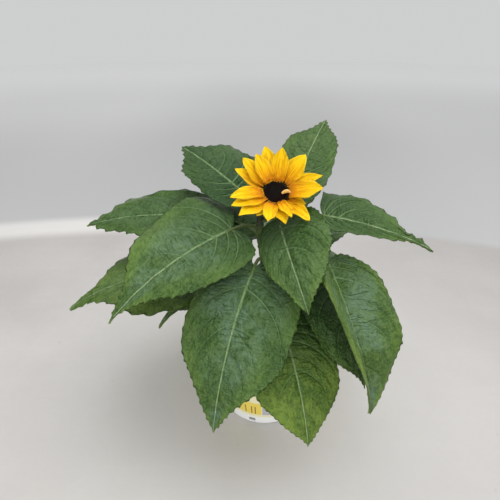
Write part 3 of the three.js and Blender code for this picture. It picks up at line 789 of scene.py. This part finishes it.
def make_stem(skin, hairs):
    def ribbed(angle):
        return 1 + 0.035 * np.cos(9 * angle) + 0.02 * np.cos(4 * angle + 1)

    points, *faces = swept(STEM, stem_radii(), STEM_SIDES, ribbed)
    # Painted shade, deepening towards the flower.
    neck = np.clip((points[:, 2] - NECK_FROM) / NECK_REACH, 0, 1)
    heap = Heap()
    heap.add(points, *faces, neck=neck * neck * (3 - 2 * neck))
    settle(heap, "stem_bark", skin, "stem", "stem")
    rng = np.random.default_rng(5)
    rows = rng.integers(int(len(STEM) * 0.08), len(STEM) - 1, STEM_HAIRS)
    roots = points[rows * STEM_SIDES + rng.integers(0, STEM_SIDES, STEM_HAIRS)]
    bristles(hairs, roots, unit(roots - STEM[rows]), STEM_HAIR, rng)


# Leaves


def outline(leaf, t, side):
    """Edge of the flat blade on one side: along the midrib, and away from it."""
    lobe = leaf.lobe_left if side > 0 else leaf.lobe_right
    u = np.clip(t / 0.6, 0, 1)
    x = leaf.length * (t - (leaf.lobe if lobe is None else lobe) * 6.75 * u * (1 - u) ** 2)
    v = np.clip(t / (1 - leaf.tail), 0, 1)
    wave = np.sin(np.pi * v ** leaf.wide).clip(0)
    y = leaf.width / 2 * wave ** (1 + leaf.acute * v)
    if leaf.tail:
        thin = TAIL_HALF_WIDTH * np.clip((1 - t) / leaf.tail, 0, 1) ** 0.6
        y = np.where(t > 0.5, np.maximum(y, thin), y)
    return x, y


def midrib(leaf, s):
    """Points of the midrib at lengths s, and the directions along, across and out of the blade."""
    steps = 60
    sides = np.arange(steps + 1) / steps

    def aim(q):
        e = np.radians(leaf.pitch - leaf.droop * q ** 1.3)
        a = np.radians(leaf.heading + leaf.bend * q)
        return np.stack([np.cos(e) * np.cos(a), np.cos(e) * np.sin(a), np.sin(e)], -1)

    halfway = aim(sides[:-1] + 0.5 / steps) * leaf.length / steps
    line = np.concatenate([[leaf.joint], leaf.joint + np.cumsum(halfway, 0)])
    q = np.clip(s / leaf.length, 0, 1)
    along = aim(q)
    point = np.stack([np.interp(q, sides, line[:, k]) for k in range(3)], -1)
    point = point + along * np.minimum(s, 0)[..., None]
    a = np.radians(leaf.heading + leaf.bend * q)
    flat = np.stack([-np.sin(a), np.cos(a), np.zeros_like(a)], -1)
    up = np.cross(along, flat)
    roll = math.radians(leaf.roll)
    across = flat * math.cos(roll) + up * math.sin(roll)
    out = up * math.cos(roll) - flat * math.sin(roll)
    return point, along, across, out


def on_blade(leaf, x, y, t, side):
    """Flat blade positions carried onto the bent and folded blade, with the way out of it."""
    point, _, across, out = midrib(leaf, x)
    reach = y * side * (1 + side * leaf.skew)
    q = np.abs(reach) / (leaf.width / 2)
    fold = leaf.fold_left if side > 0 else leaf.fold_right
    angle = np.radians((leaf.fold if fold is None else fold) - leaf.camber * q / 2)
    phase = leaf.node if side > 0 else 2 * leaf.node
    wave = RIPPLE * leaf.length * q * q * np.sin(19 * t + phase)
    cosine, sine = np.cos(angle)[..., None], np.sin(angle)[..., None]
    point = point + across * reach[..., None] * cosine
    point = point + out * (np.abs(reach)[..., None] * sine + wave[..., None])
    return point, unit(out * cosine - across * side * sine)


def tooth(leaf, t, rng):
    """How far the edge stands out in teeth that point forward, on slow waves."""
    cycle = t * leaf.teeth
    number = np.floor(cycle).astype(int).clip(0, leaf.teeth - 1)
    share = cycle - number
    peak = rng.uniform(0.5, 0.72, leaf.teeth)[number]
    size = rng.uniform(0.5, 1.15, leaf.teeth)[number]
    rise = np.where(share < peak, (share / peak) ** 1.4, ((1 - share) / (1 - peak)) ** 0.9)
    small = 0.22 * np.abs(np.sin(np.pi * (cycle * 2.5 + 0.3)))
    wave = 0.5 + 0.5 * np.sin(2 * np.pi * (3.1 * t + rng.uniform()))
    fade = np.clip(t / 0.08, 0, 1) * np.clip((1 - t) / 0.07, 0, 1)
    return TOOTH * leaf.ragged * leaf.length * (rise * size + small - 0.9 * wave + 0.6) * fade


def blade_grid(leaf, side, veins):
    """Flat points of half a blade, in rows t along the edge and columns r out from the midrib."""
    rows = np.add.outer(VEIN_ROWS, veins).ravel()
    fill = np.linspace(0, 1, FILL_ROWS)
    fill = fill[np.abs(fill[:, None] - rows).min(1) > ROW_GAP]
    t = np.unique(np.clip(np.concatenate([rows, fill, [0, 1]]), 0, 1))
    r = BLADE_COLUMNS

    def slope(values):
        return np.gradient(values, t, axis=0)

    edge_x, edge_y = outline(leaf, t[:, None], side)
    start = leaf.length * np.clip((t[:, None] - FAN_END) / (1 - FAN_END), 0, 1) ** 1.6
    bow = VEIN_BOW * r * (1 - r)
    x = start + (edge_x - start) * r - edge_y * bow
    y = edge_y * r + (edge_x - start) * bow
    return SimpleNamespace(
        t=t[:, None], r=r, x=x, y=y, stretch=np.hypot(slope(x), slope(y)),
        reach=np.hypot(edge_x - start, edge_y) * r,
        outward=unit(np.stack([-slope(edge_y), slope(edge_x)], -1)))


def puckers(grid, veins, rng):
    """How the blade swells and creases between its veins, and how far apart they are there."""
    t, x, y = grid.t, grid.x, grid.y
    between = np.searchsorted(veins, t[:, 0])
    ends = np.concatenate([[0], veins, [1]])
    low, high = ends[between][:, None], ends[between + 1][:, None]
    share = np.clip((t - low) / (high - low), 0, 1)
    spread = np.clip((high - low) * grid.stretch, 0, 13)
    phase = rng.uniform(0, 1, len(ends))[between][:, None]
    slant = rng.uniform(0.2, 0.7, len(ends))[between][:, None]
    wander = 0.35 * np.sin(0.31 * x + 0.23 * y + 5 * phase) + 0.2 * np.sin(0.7 * y - 0.4 * x)
    cycle = grid.reach / CREASE_PITCH + phase + slant * share + wander
    crease = np.abs(np.sin(np.pi * cycle)) ** 0.7
    return np.sin(np.pi * share) ** 0.8, crease, spread


def vein_lines(grid, veins, length):
    """How strongly veins show, and the grooves beside them, which carry painted shade, and turn
    negative on the flanks for a painted highlight.
    """
    t, r, x, y = grid.t, grid.r, grid.x, grid.y
    gap = np.abs(t[:, :, None] - veins)
    nearest = gap.argmin(-1)
    away = gap.min(-1) * grid.stretch
    bold = VEIN_BOLDNESS[nearest]
    on_rib = x > -0.5
    rib = bell(y, 0.95 * (1 - 0.55 * np.clip(x / length, 0, 1))) * on_rib
    vein = np.maximum(0.78 * bold * bell(away, 0.7 - 0.28 * r) * (1 - 0.6 * r ** 3), rib)
    groove = bold * bell(away, 1.7 - 0.7 * r) * (1 - 0.8 * r ** 2)
    flank = bold * bell(away - 2.4, 1.1) * (t > veins[nearest]) * (1 - r ** 2)
    return vein, np.maximum(groove - 0.6 * flank, 0.8 * bell(y, 2.0) * on_rib)


def half_blade(leaf, side, rng):
    """Upper and lower points of one half of a blade, and the marks on them."""
    veins = np.concatenate([
        FAN_VEINS + rng.normal(0, 0.006, len(FAN_VEINS)),
        SIDE_VEINS + rng.normal(0, 0.010, len(SIDE_VEINS))])
    grid = blade_grid(leaf, side, veins)
    t, r, x, y = grid.t, grid.r, grid.x, grid.y
    bulge, crease, spread = puckers(grid, veins, rng)
    vein, groove = vein_lines(grid, veins, leaf.length)
    inner = 1 - r ** 6
    lift = (np.clip((r - 0.85) / 0.15, 0, 1) ** 1.5 * tooth(leaf, t, rng))[..., None] * grid.outward
    cut_x, cut_y = x + lift[..., 0], np.maximum(y + lift[..., 1], 0)
    point, out = on_blade(leaf, TRIM * cut_x, TRIM * cut_y, t + 0 * r, side)
    drift = leaf.length / 60 * r ** 2 * np.sin(7.5 * t + leaf.node) * np.cos(3 * t * r + side)
    raised = spread * bulge * (SWELL + CREASE * (crease - 0.6)) * inner
    raised = raised - VEIN_SUNK * vein * inner + drift
    half = BLADE_THICK / 2 * (1 - 0.5 * r)
    ridge = VEIN_RIDGE * vein * (1 - 0.7 * r)
    top = point + out * (raised + half)[..., None]
    bottom = point + out * (raised - half - ridge)[..., None]
    shift = leaf.node * 3.7
    return top, bottom, dict(
        vein=vein, edge=r + 0 * t, pucker=bulge * crease * inner, groove=groove,
        along=x / leaf.length, plan_x=(x + shift) / 100, plan_y=(y * side + shift) / 100)


def make_blade(name, leaf, skin):
    heap = Heap()
    rng = np.random.default_rng(leaf.node * 7 + int(leaf.length))
    for side in (1, -1):
        tone = leaf.tone if side > 0 or leaf.tone_right is None else leaf.tone_right
        top, bottom, marks = half_blade(leaf, side, rng)
        rows, columns = top.shape[:2]
        for under, surface in enumerate((top, bottom)):
            heap.add(
                surface, grid_faces(rows, columns, flip=(side > 0) == (under == 0)),
                under=under, tone=tone + leaf.ripen * marks["along"], bloom=leaf.bloom,
                dim=leaf.dim, shadow=leaf.shadow, **marks)
        heap.add(
            np.stack([top[:, -1], bottom[:, -1]], 1), grid_faces(rows, 2, flip=side > 0),
            under=0.5, tone=tone, bloom=0, dim=leaf.dim, shadow=0, vein=0, edge=1, pucker=0,
            groove=0, along=0.5, plan_x=0.1, plan_y=0.1)
    settle(heap, name + "_blade", skin, "leaf", name, weld=0.004)


def make_stalk(name, leaf, skin, hairs):
    """A stalk that leaves the stem steeply and goes on under the blade as its main rib."""
    joint, ahead = (found[0] for found in midrib(leaf, np.zeros(1))[:2])
    root = stem_at(leaf.node)
    away = joint - root
    span = np.linalg.norm(away)
    rise = math.radians(STALK_RISE)
    leave = unit(away * (1, 1, 0)) * math.cos(rise) + np.array([0, 0, math.sin(rise)])
    p1 = root + leave * 0.4 * span
    p2 = joint - ahead * 0.4 * span
    q = np.linspace(0, 1, STALK_ROWS)[:, None]
    bend = p1 * q * (1 - q) ** 2 + p2 * q * q * (1 - q)
    line = root * (1 - q) ** 3 + 3 * bend + joint * q ** 3
    q = q[:, 0]
    thick = 0.9 + leaf.length / 210
    stalk_r = thick * (1.05 - 0.2 * q + 0.5 * bell(q, 0.06))
    rib_at = np.linspace(0.04, 0.9, RIB_ROWS)
    ribs, _, _, out = midrib(leaf, rib_at * leaf.length)
    rib_r = thick * (0.82 - 0.75 * rib_at)
    line = np.concatenate([line, ribs - out * (0.55 * rib_r + 0.1)[:, None]])
    points, *faces = swept(line, np.concatenate([stalk_r, rib_r]), STALK_SIDES)
    heap = Heap()
    # Painted shade on the stalks of the upper leaves, near the flower.
    heap.add(points, *faces, neck=min(max((leaf.node - 170) / 24, 0), 0.6))
    settle(heap, name + "_stalk", skin, "stem")
    rng = np.random.default_rng(leaf.node)
    count = int(STALK_HAIRS_PER_MM * span)
    rows = rng.integers(1, STALK_ROWS - 1, count)
    roots = points[rows * STALK_SIDES + rng.integers(0, STALK_SIDES, count)]
    bristles(hairs, roots, unit(roots - line[rows]), STALK_HAIR, rng)


# Flower


def head_axes():
    tilt = math.radians(HEAD_TILT)
    axis = np.array([0, -math.cos(tilt), math.sin(tilt)])
    up = np.array([0, math.sin(tilt), math.cos(tilt)])
    return np.stack([np.cross(up, axis), up, axis])


def on_head(points):
    """Points from the flower's own frame, whose +Z looks out of the disc, into the plant's."""
    return np.asarray(points) @ head_axes() + HEAD_CENTRE


def turn(points, degrees):
    c, s = math.cos(math.radians(degrees)), math.sin(math.radians(degrees))
    x, y, z = np.moveaxis(np.asarray(points), -1, 0)
    return np.stack([x * c - y * s, x * s + y * c, z], -1)


def strip(shape, rows, columns):
    """A thin curved strip that leans out from the flower's axis: two faces, and their marks."""
    s = np.linspace(0, 1, rows)[:, None] ** 0.9
    j = np.linspace(-1, 1, columns)[None, :]
    half = shape.width / 2 * np.sin(np.pi * (0.13 + 0.87 * s)).clip(0) ** (0.6 + shape.point * s)
    half = np.maximum(half * (1 + 0.07 * np.sin(10 * s + shape.turn)), 0.12)
    lean = math.radians(shape.open) + math.radians(shape.curl) * s
    bent = math.radians(shape.open) + math.radians(shape.curl) * s * 0.5
    out = shape.start + shape.length * s * np.sin(bent)
    rise = shape.lift + shape.length * s * np.cos(bent)
    folds = shape.ribs * (np.cos(j * 7.5) - 1) * np.sin(np.pi * s.clip(0, 0.97)) ** 0.6
    flutter = shape.wave * np.sin(11 * s + 3 * j + shape.turn) * j * j
    layers = []
    for face in (1, -1):
        lift = shape.cup * j * j * half + folds + flutter
        lift = lift + face * shape.thick / 2 * (1 - 0.6 * np.abs(j) ** 3)
        x = j * half + shape.sway * s * s
        layers.append(np.stack([x, out - lift * np.cos(lean), rise + lift * np.sin(lean)], -1))
    return layers, dict(
        along=s + 0 * j, across=np.abs(j) + 0 * s,
        plan_x=(s * shape.length + 0 * j) / 10 + shape.spot, plan_y=j * half / 10 + shape.spot)


def add_strip(heap, shape, rows, columns):
    (top, bottom), marks = strip(shape, rows, columns)
    for under, surface in enumerate((top, bottom)):
        faces = grid_faces(rows, columns, flip=under == 1)
        heap.add(on_head(turn(surface, -shape.turn)), faces, under=under, **marks)
    loop = [(i, 0) for i in range(rows)] + [(rows - 1, j) for j in range(1, columns)]
    loop += [(i, columns - 1) for i in range(rows - 2, -1, -1)]
    loop += [(0, j) for j in range(columns - 2, -1, -1)]
    i, j = np.array(loop).T
    rim = np.stack([top[i, j], bottom[i, j]], 1)
    heap.add(
        on_head(turn(rim, -shape.turn)), grid_faces(len(rim), 2, flip=True),
        along=0.9, across=1, under=0.5, plan_x=shape.spot, plan_y=shape.spot)
    return bottom


def make_petals(skin):
    """Fifteen petals, each a little wider and less open than its solid, and rays behind them."""
    rng = np.random.default_rng(11)
    for number, (around, length, width, opening, layer) in enumerate(PETALS, 1):
        back, sway = BENDS.get(number, (0, rng.uniform(-1.2, 1.2)))
        shape = SimpleNamespace(
            turn=around + back, length=length, width=width * PETAL_WIDER,
            open=opening - PETAL_STEEPER,
            curl=rng.uniform(10, 24), start=PETAL_START + rng.uniform(-1.8, 1.0),
            lift=0.6 + 1.2 * layer, cup=0.2, thick=0.4, ribs=0.4, wave=rng.uniform(0.3, 0.8),
            sway=sway, point=rng.uniform(0.1, 0.4), spot=number * 1.7)
        shape.length += DISC_R + 0.5 - shape.start
        heap = Heap()
        add_strip(heap, shape, *PETAL_GRID)
        settle(heap, f"ray_{number}", skin, "petal", f"petal_{number}", weld=0.002)
    heap = Heap()
    for number, (around, length, width) in enumerate(SMALL_RAYS):
        shape = SimpleNamespace(
            turn=around, length=length, width=width, open=66, curl=16, start=PETAL_START,
            lift=0.2, cup=0.2, thick=0.4, ribs=0.3, wave=0.5, sway=0.5, point=0.5,
            spot=3.1 + number * 1.9)
        add_strip(heap, shape, *RAY_GRID)
    settle(heap, "small_rays", skin, "petal", weld=0.002)


def make_bracts(skin, hairs):
    """Two rows of pointed bracts with hairs along both edges and the middle of their backs."""
    rng = np.random.default_rng(21)
    heap = Heap()
    for row, (count, start, lift, opening, length) in enumerate((
            (14, 7.5, -2.8, 86, BRACT_LENGTH), (12, 6.2, -4.4, 96, BRACT_LENGTH - 2))):
        for k in range(count):
            shape = SimpleNamespace(
                turn=-360 * (k + 0.5 + row * 0.4) / count, length=length * rng.uniform(0.86, 1.0),
                width=6 * rng.uniform(0.9, 1.05), open=opening + rng.uniform(-3, 3), curl=14,
                start=start, lift=lift, cup=-0.1, thick=0.5, ribs=0.12, wave=0.3,
                point=0.2, sway=rng.uniform(-0.8, 0.8), spot=k * 1.3)
            back = add_strip(heap, shape, *BRACT_GRID)[2:-1]
            edges = np.concatenate([back[:, 0], back[:, -1], back[:, BRACT_GRID[1] // 2]])
            outward = [(-1.0, 0.2, -0.3), (1.0, 0.2, -0.3), (0.0, 0.1, -1.0)]
            outward = np.repeat(outward, len(back), 0)
            roots = on_head(turn(edges, -shape.turn))
            bristles(hairs, roots, turn(outward, -shape.turn) @ head_axes(), BRACT_HAIR, rng)
    settle(heap, "bracts", skin, "sepal", weld=0.002)


def make_cup(skin):
    """The green base behind the disc."""
    foot = -BASE_DEPTH
    profile = [
        (0.01, foot), (2.6, foot), (3.4, foot + 0.4), (5.4, foot + 1.0), (7.2, foot + 2.0),
        (8.7, -4.8), (9.7, -3.4), (10.2, -2.0), (10.0, -0.8), (9.4, -0.3), (0.01, -0.3)]

    def ribbed(r, angle):
        return r * (1 + 0.02 * np.cos(14 * angle) * (r > 2))

    points, faces = turned(profile, CUP_SIDES, ribbed)
    heap = Heap()
    heap.add(on_head(points), faces, along=0)
    settle(heap, "flower_cup", skin, "sepal", "flower_base", weld=0.02)


def dome(r):
    """Height of the disc's face at radius r."""
    q = np.clip(r / (DISC_R - 0.3), 0, 1)
    return 0.7 + DISC_RISE * np.sqrt(1 - q * q)


def make_disc(core, floret_skins):
    """A dark core set with florets in a spiral: closed buds, dark open ones, a rusty rim."""
    heap = Heap()
    radii = np.linspace(DISC_R - 1.5, 0.01, 20)
    profile = [(0.01, -0.2), (DISC_R - 1.8, -0.2)] + [(r, dome(r) - 0.5) for r in radii]
    points, faces = turned(profile, DISC_SIDES)
    heap.add(on_head(points), faces)
    settle(heap, "disc_core", core, "disc", "flower_disc", weld=0.02)
    rng = np.random.default_rng(31)
    kinds = [Heap(), Heap(), Heap()]
    golden = math.pi * (3 - math.sqrt(5))
    for n in range(FLORETS):
        share = math.sqrt((n + 0.5) / FLORETS)
        bud = share < BUD_SHARE
        a = n * golden
        uneven = 0.6 * math.sin(4 * a + 0.9) + 0.5 * math.sin(7 * a) + 0.5 * math.sin(13 * a + 1)
        r = share * (DISC_R + 0.9 + share ** 4 * uneven)
        tall = (0.75 + 0.5 * share + 1.1 * share ** 8) * rng.uniform(0.75, 1.2)
        slope = 0.55 * share ** 2
        east = math.cos(a) * slope + rng.normal(0, 0.09)
        north = math.sin(a) * slope + rng.normal(0, 0.09)
        foot = np.array([r * math.cos(a), r * math.sin(a), max(dome(r) - 0.7, 0.9)])
        heights = np.array([0, 0.45, 0.8, 0.93, 1.0]) * tall
        girth = (0.8, 1.0, 0.85, 0.55, 0.12) if bud else (0.7, 0.75, 0.95, 1.25, 0.35)
        lobes = 0.18 if bud else 0.0504

        def star(angle):
            return 1 + lobes * np.cos(5 * angle)

        line = foot + unit(np.array([east, north, 1.0])) * heights[:, None]
        girth = np.array(girth) * (0.30 + 0.14 * share)
        points, *faces = swept(line, girth, FLORET_SIDES, star)
        kinds[0 if bud else 1 if share < DARK_SHARE else 2].add(on_head(points), *faces)
    for name, heap, finish in zip(("disc_buds", "disc_florets", "disc_rim"), kinds, floret_skins):
        settle(heap, name, finish, "disc")


def make_curled_ray(skin):
    path = through(CURL_LINE, 6)
    steps = np.linspace(0, 1, len(path))
    radii = np.interp(steps, np.linspace(0, 1, len(CURL_GIRTH)), CURL_GIRTH)
    sides = 16

    def rolled(angle):
        return 1 + 0.25 * np.cos(angle - 1) - 0.35 * np.exp(-((angle - 4.2) ** 2) / 0.3)

    points, *faces = swept(path, radii, sides, rolled)
    share = np.concatenate([np.repeat(0.4 + 0.6 * steps, sides), [0.4, 1]])
    heap = Heap()
    heap.add(on_head(points), *faces, along=share, across=0.5, under=0.7, plan_x=share, plan_y=0.3)
    settle(heap, "curled_florets", skin, "petal")


# Compost


def bumpy(x, y):
    """Uneven top of the compost."""
    return (
        0.8 * np.sin(0.23 * x + 1) * np.cos(0.19 * y)
        + 0.5 * np.sin(0.61 * x + 0.5 * y) + 0.35 * np.cos(0.9 * y - 0.47 * x + 2)
        + 0.25 * np.sin(1.7 * x) * np.sin(1.5 * y + 1))


def wall_at(z):
    """Outer radius of the pot's wall at a height."""
    return POT_BASE_R + WALL_SLOPE * (z - BAND_HEIGHT)


def soil_height(x, y):
    q = np.hypot(x, y) / wall_at(SOIL_TOP)
    return SOIL_TOP + SOIL_MOUND * (1 - q * q) + bumpy(x, y) * np.clip((1 - q) * 8, 0, 1) - SOIL_SUNK


def make_soil(skin):
    """The compost: an uneven top, and plain sides and floor inside the pot."""
    angle = ring(SOIL_SIDES)
    r = np.linspace(0.02, 1, SOIL_RINGS)[:, None] * (wall_at(SOIL_TOP) - SOIL_INSET)
    x, y = r * np.cos(angle), r * np.sin(angle)
    top = np.stack([x, y, soil_height(x, y)], -1).reshape(-1, 3)
    floor = POT_FLOOR + 0.3
    low, _ = turned([
        (wall_at(BAND_HEIGHT) - SOIL_INSET, BAND_HEIGHT), (POT_BASE_R - SOIL_INSET, floor),
        (0.02, floor)], SOIL_SIDES)
    heap = Heap()
    heap.add(np.concatenate([top, low]), grid_faces(SOIL_RINGS + 3, SOIL_SIDES, around=True))
    settle(heap, "compost", skin, "soil", "soil", weld=0.05)


def make_crumbs(crumb, fibre, grit):
    """Loose crumbs, fibres and grit on the compost."""
    edge = wall_at(SOIL_TOP) - SOIL_INSET
    rng = np.random.default_rng(41)
    ball = bmesh.new()
    bmesh.ops.create_icosphere(ball, subdivisions=1, radius=1)
    shape = np.array([v.co for v in ball.verts])
    faces = np.array([[v.index for v in face.verts] for face in ball.faces])
    ball.free()

    def scatter(name, finish, count, small, large, squash):
        heap = Heap()
        for _ in range(count):
            r = edge * math.sqrt(rng.uniform(0.006, 0.97))
            a = rng.uniform(0, 2 * math.pi)
            size = min(small + (large - small) * rng.uniform() ** 2.5, edge - r + 0.2)
            x, y = r * math.cos(a), r * math.sin(a)
            at = np.array([x, y, soil_height(x, y) + size * 0.25])
            spin = np.linalg.qr(rng.normal(0, 1, (3, 3)))[0]
            lump = shape * rng.uniform(0.72, 1.25, (len(shape), 1)) * size * np.array(squash)
            heap.add(lump @ spin + at, faces)
        settle(heap, name, finish, "soil")

    scatter("compost_crumbs", crumb, 900, 0.5, 2.3, (1, 0.85, 0.7))
    scatter("compost_fibres", fibre, 160, 1.0, 3.2, (1, 0.13, 0.13))
    scatter("compost_grit", grit, 60, 0.4, 1.0, (1, 0.9, 0.8))


# Pot


def pot_profile():
    """Section of the pot as (radius, height), from the middle of its foot round to its inside."""
    foot, inner_foot = POT_BASE_R, POT_BASE_R - POT_WALL
    slot_top, under, lip = POT_FLOOR + SLOT_HEIGHT, POT_HEIGHT - RIM_DROP, POT_HEIGHT
    profile = [
        (0.01, 0), (foot - 6, 0), (foot - 1.2, 0), (foot - 0.35, 0.35), (foot, 1.2),
        (foot, POT_FLOOR), (foot, slot_top), (foot, BAND_HEIGHT - 0.7),
        (foot - 0.15, BAND_HEIGHT - 0.1)]
    profile += [(wall_at(z) - 0.15, z) for z in np.linspace(BAND_HEIGHT + 0.2, under - 0.6, 26)]
    profile += [
        (wall_at(under) + 0.2, under - 0.1), (RIM_R - 1.4, under), (RIM_R - 0.75, under + 0.25),
        (RIM_R - 0.5, under + 0.9), (RIM_R - 0.2, lip - 2.6), (RIM_R, lip - 1.6),
        (RIM_R - 0.15, lip - 0.6), (RIM_R - 0.8, lip), (RIM_R - 2.4, lip),
        (RIM_R - 3.2, lip - 0.35), (wall_at(lip) - POT_WALL - 0.3, lip - 1.6)]
    profile += [(wall_at(z) - POT_WALL, z) for z in np.linspace(lip - 4, BAND_HEIGHT + 1, 12)]
    profile += [
        (inner_foot, BAND_HEIGHT), (inner_foot, slot_top), (inner_foot, POT_FLOOR),
        (foot - 6, POT_FLOOR - 0.4), (0.01, POT_FLOOR - 0.4)]
    return profile


def make_pot(skin):
    """The pot, with drain slots cut through the rows of its foot and closed by their own walls."""
    profile = pot_profile()
    points, faces = turned(profile, POT_SIDES)
    across = SLOT_WIDTH / POT_BASE_R * POT_SIDES / (2 * math.pi)
    slots = set()
    for k in range(SLOT_COUNT):
        first = round((FIRST_SLOT / 360 + k / SLOT_COUNT) * POT_SIDES - across / 2)
        slots |= {(first + i) % POT_SIDES for i in range(round(across))}
    outer, inner = 5, len(profile) - 4
    faces = faces.reshape(-1, POT_SIDES, 4)
    whole = np.ones(faces.shape[:2], bool)
    whole[np.ix_((outer, inner), sorted(slots))] = False
    a, b, d, c = (row * POT_SIDES for row in (outer, outer + 1, inner, inner + 1))
    walls = []
    for j in sorted(slots):
        n = (j + 1) % POT_SIDES
        walls.append((a + j, a + n, c + n, c + j))
        walls.append((b + n, b + j, d + j, d + n))
        if (j - 1) % POT_SIDES not in slots:
            walls.append((a + j, c + j, d + j, b + j))
        if n not in slots:
            walls.append((a + n, b + n, d + n, c + n))
    heap = Heap()
    heap.add(points, faces[whole], np.array(walls))
    settle(heap, "flower_pot", skin, "pot", "pot", weld=0.05)


# Everything on the plant
hairs = Heap()
leaf_green = leaf_skin()
stalk_green = stalk_skin()
bract_green = bract_skin()
make_pot(pot_print())
make_soil(compost_skin())
make_crumbs(
    plain_finish("crumb_skin", (0.014, 0.009, 0.006), (0.070, 0.043, 0.026), 500.0, (0.75, 0.95)),
    plain_finish("fibre_skin", (0.05, 0.030, 0.016), (0.15, 0.095, 0.05), 300.0, (0.7, 0.9)),
    plain_finish("grit_skin", (0.35, 0.33, 0.30), (0.62, 0.60, 0.56), 700.0, (0.6, 0.9)))
make_stem(stalk_green, hairs)
for leaf_name, values in LEAVES.items():
    grown = SimpleNamespace(**{**LEAF_DEFAULTS, **values})
    make_blade(leaf_name, grown, leaf_green)
    make_stalk(leaf_name, grown, stalk_green, hairs)
make_bracts(bract_green, hairs)
make_cup(bract_green)
make_petals(petal_skin())
core_dark, *floret_darks = (
    plain_finish(name, dark, light, 900.0, rough, shine)
    for name, dark, light, rough, shine in (
        ("disc_core_skin", (0.004, 0.002, 0.003), (0.012, 0.006, 0.005), (0.7, 0.9), 0.05),
        ("bud_skin", (0.006, 0.005, 0.006), (0.022, 0.024, 0.012), (0.5, 0.8), 0.12),
        ("floret_skin", (0.006, 0.003, 0.005), (0.026, 0.010, 0.010), (0.55, 0.8), 0.08),
        ("rim_skin", (0.016, 0.006, 0.004), (0.11, 0.036, 0.008), (0.6, 0.85), 0.08)))
make_disc(core_dark, floret_darks)
make_curled_ray(
    plain_finish("pale_ray_skin", (0.62, 0.36, 0.08), (0.88, 0.66, 0.30), 300.0, (0.5, 0.7)))
settle(hairs, "hairs", hair_skin(), "stem")


# Floor, light and camera


def make_floor():
    heap = Heap()
    heap.add(*turned([(r / MM, -FLOOR_DROP / MM) for r in FLOOR_RINGS], FLOOR_SIDES))
    heap.build("floor", floor_finish())


def make_light():
    world = bpy.data.worlds.new("soft_light")
    bpy.context.scene.world = world
    world.use_nodes = True
    background = world.node_tree.nodes["Background"]
    background.inputs["Color"].default_value = WORLD_COLOUR
    background.inputs["Strength"].default_value = WORLD_LIGHT
    for name, place, size, power in LAMPS:
        lamp = bpy.data.lights.new(name, "AREA")
        lamp.size = size
        lamp.energy = power
        holder = bpy.data.objects.new(name, lamp)
        holder.location = place
        holder.rotation_euler = (LAMP_AIM - Vector(place)).to_track_quat("-Z", "Y").to_euler()
        bpy.context.scene.collection.objects.link(holder)


def make_camera():
    data = bpy.data.cameras.new("camera")
    data.sensor_width = SENSOR_WIDTH
    data.lens = CAMERA_FOCUS * SENSOR_WIDTH / PICTURE_WIDTH
    data.clip_start = 0.01
    camera = bpy.data.objects.new("camera", data)
    camera.location = CAMERA_PLACE
    camera.rotation_euler = (math.radians(90 - CAMERA_DOWN), 0, 0)
    bpy.context.scene.collection.objects.link(camera)
    bpy.context.scene.camera = camera


make_floor()
make_light()
make_camera()
bpy.context.scene.view_settings.view_transform = "Standard"

bpy.context.view_layer.update()
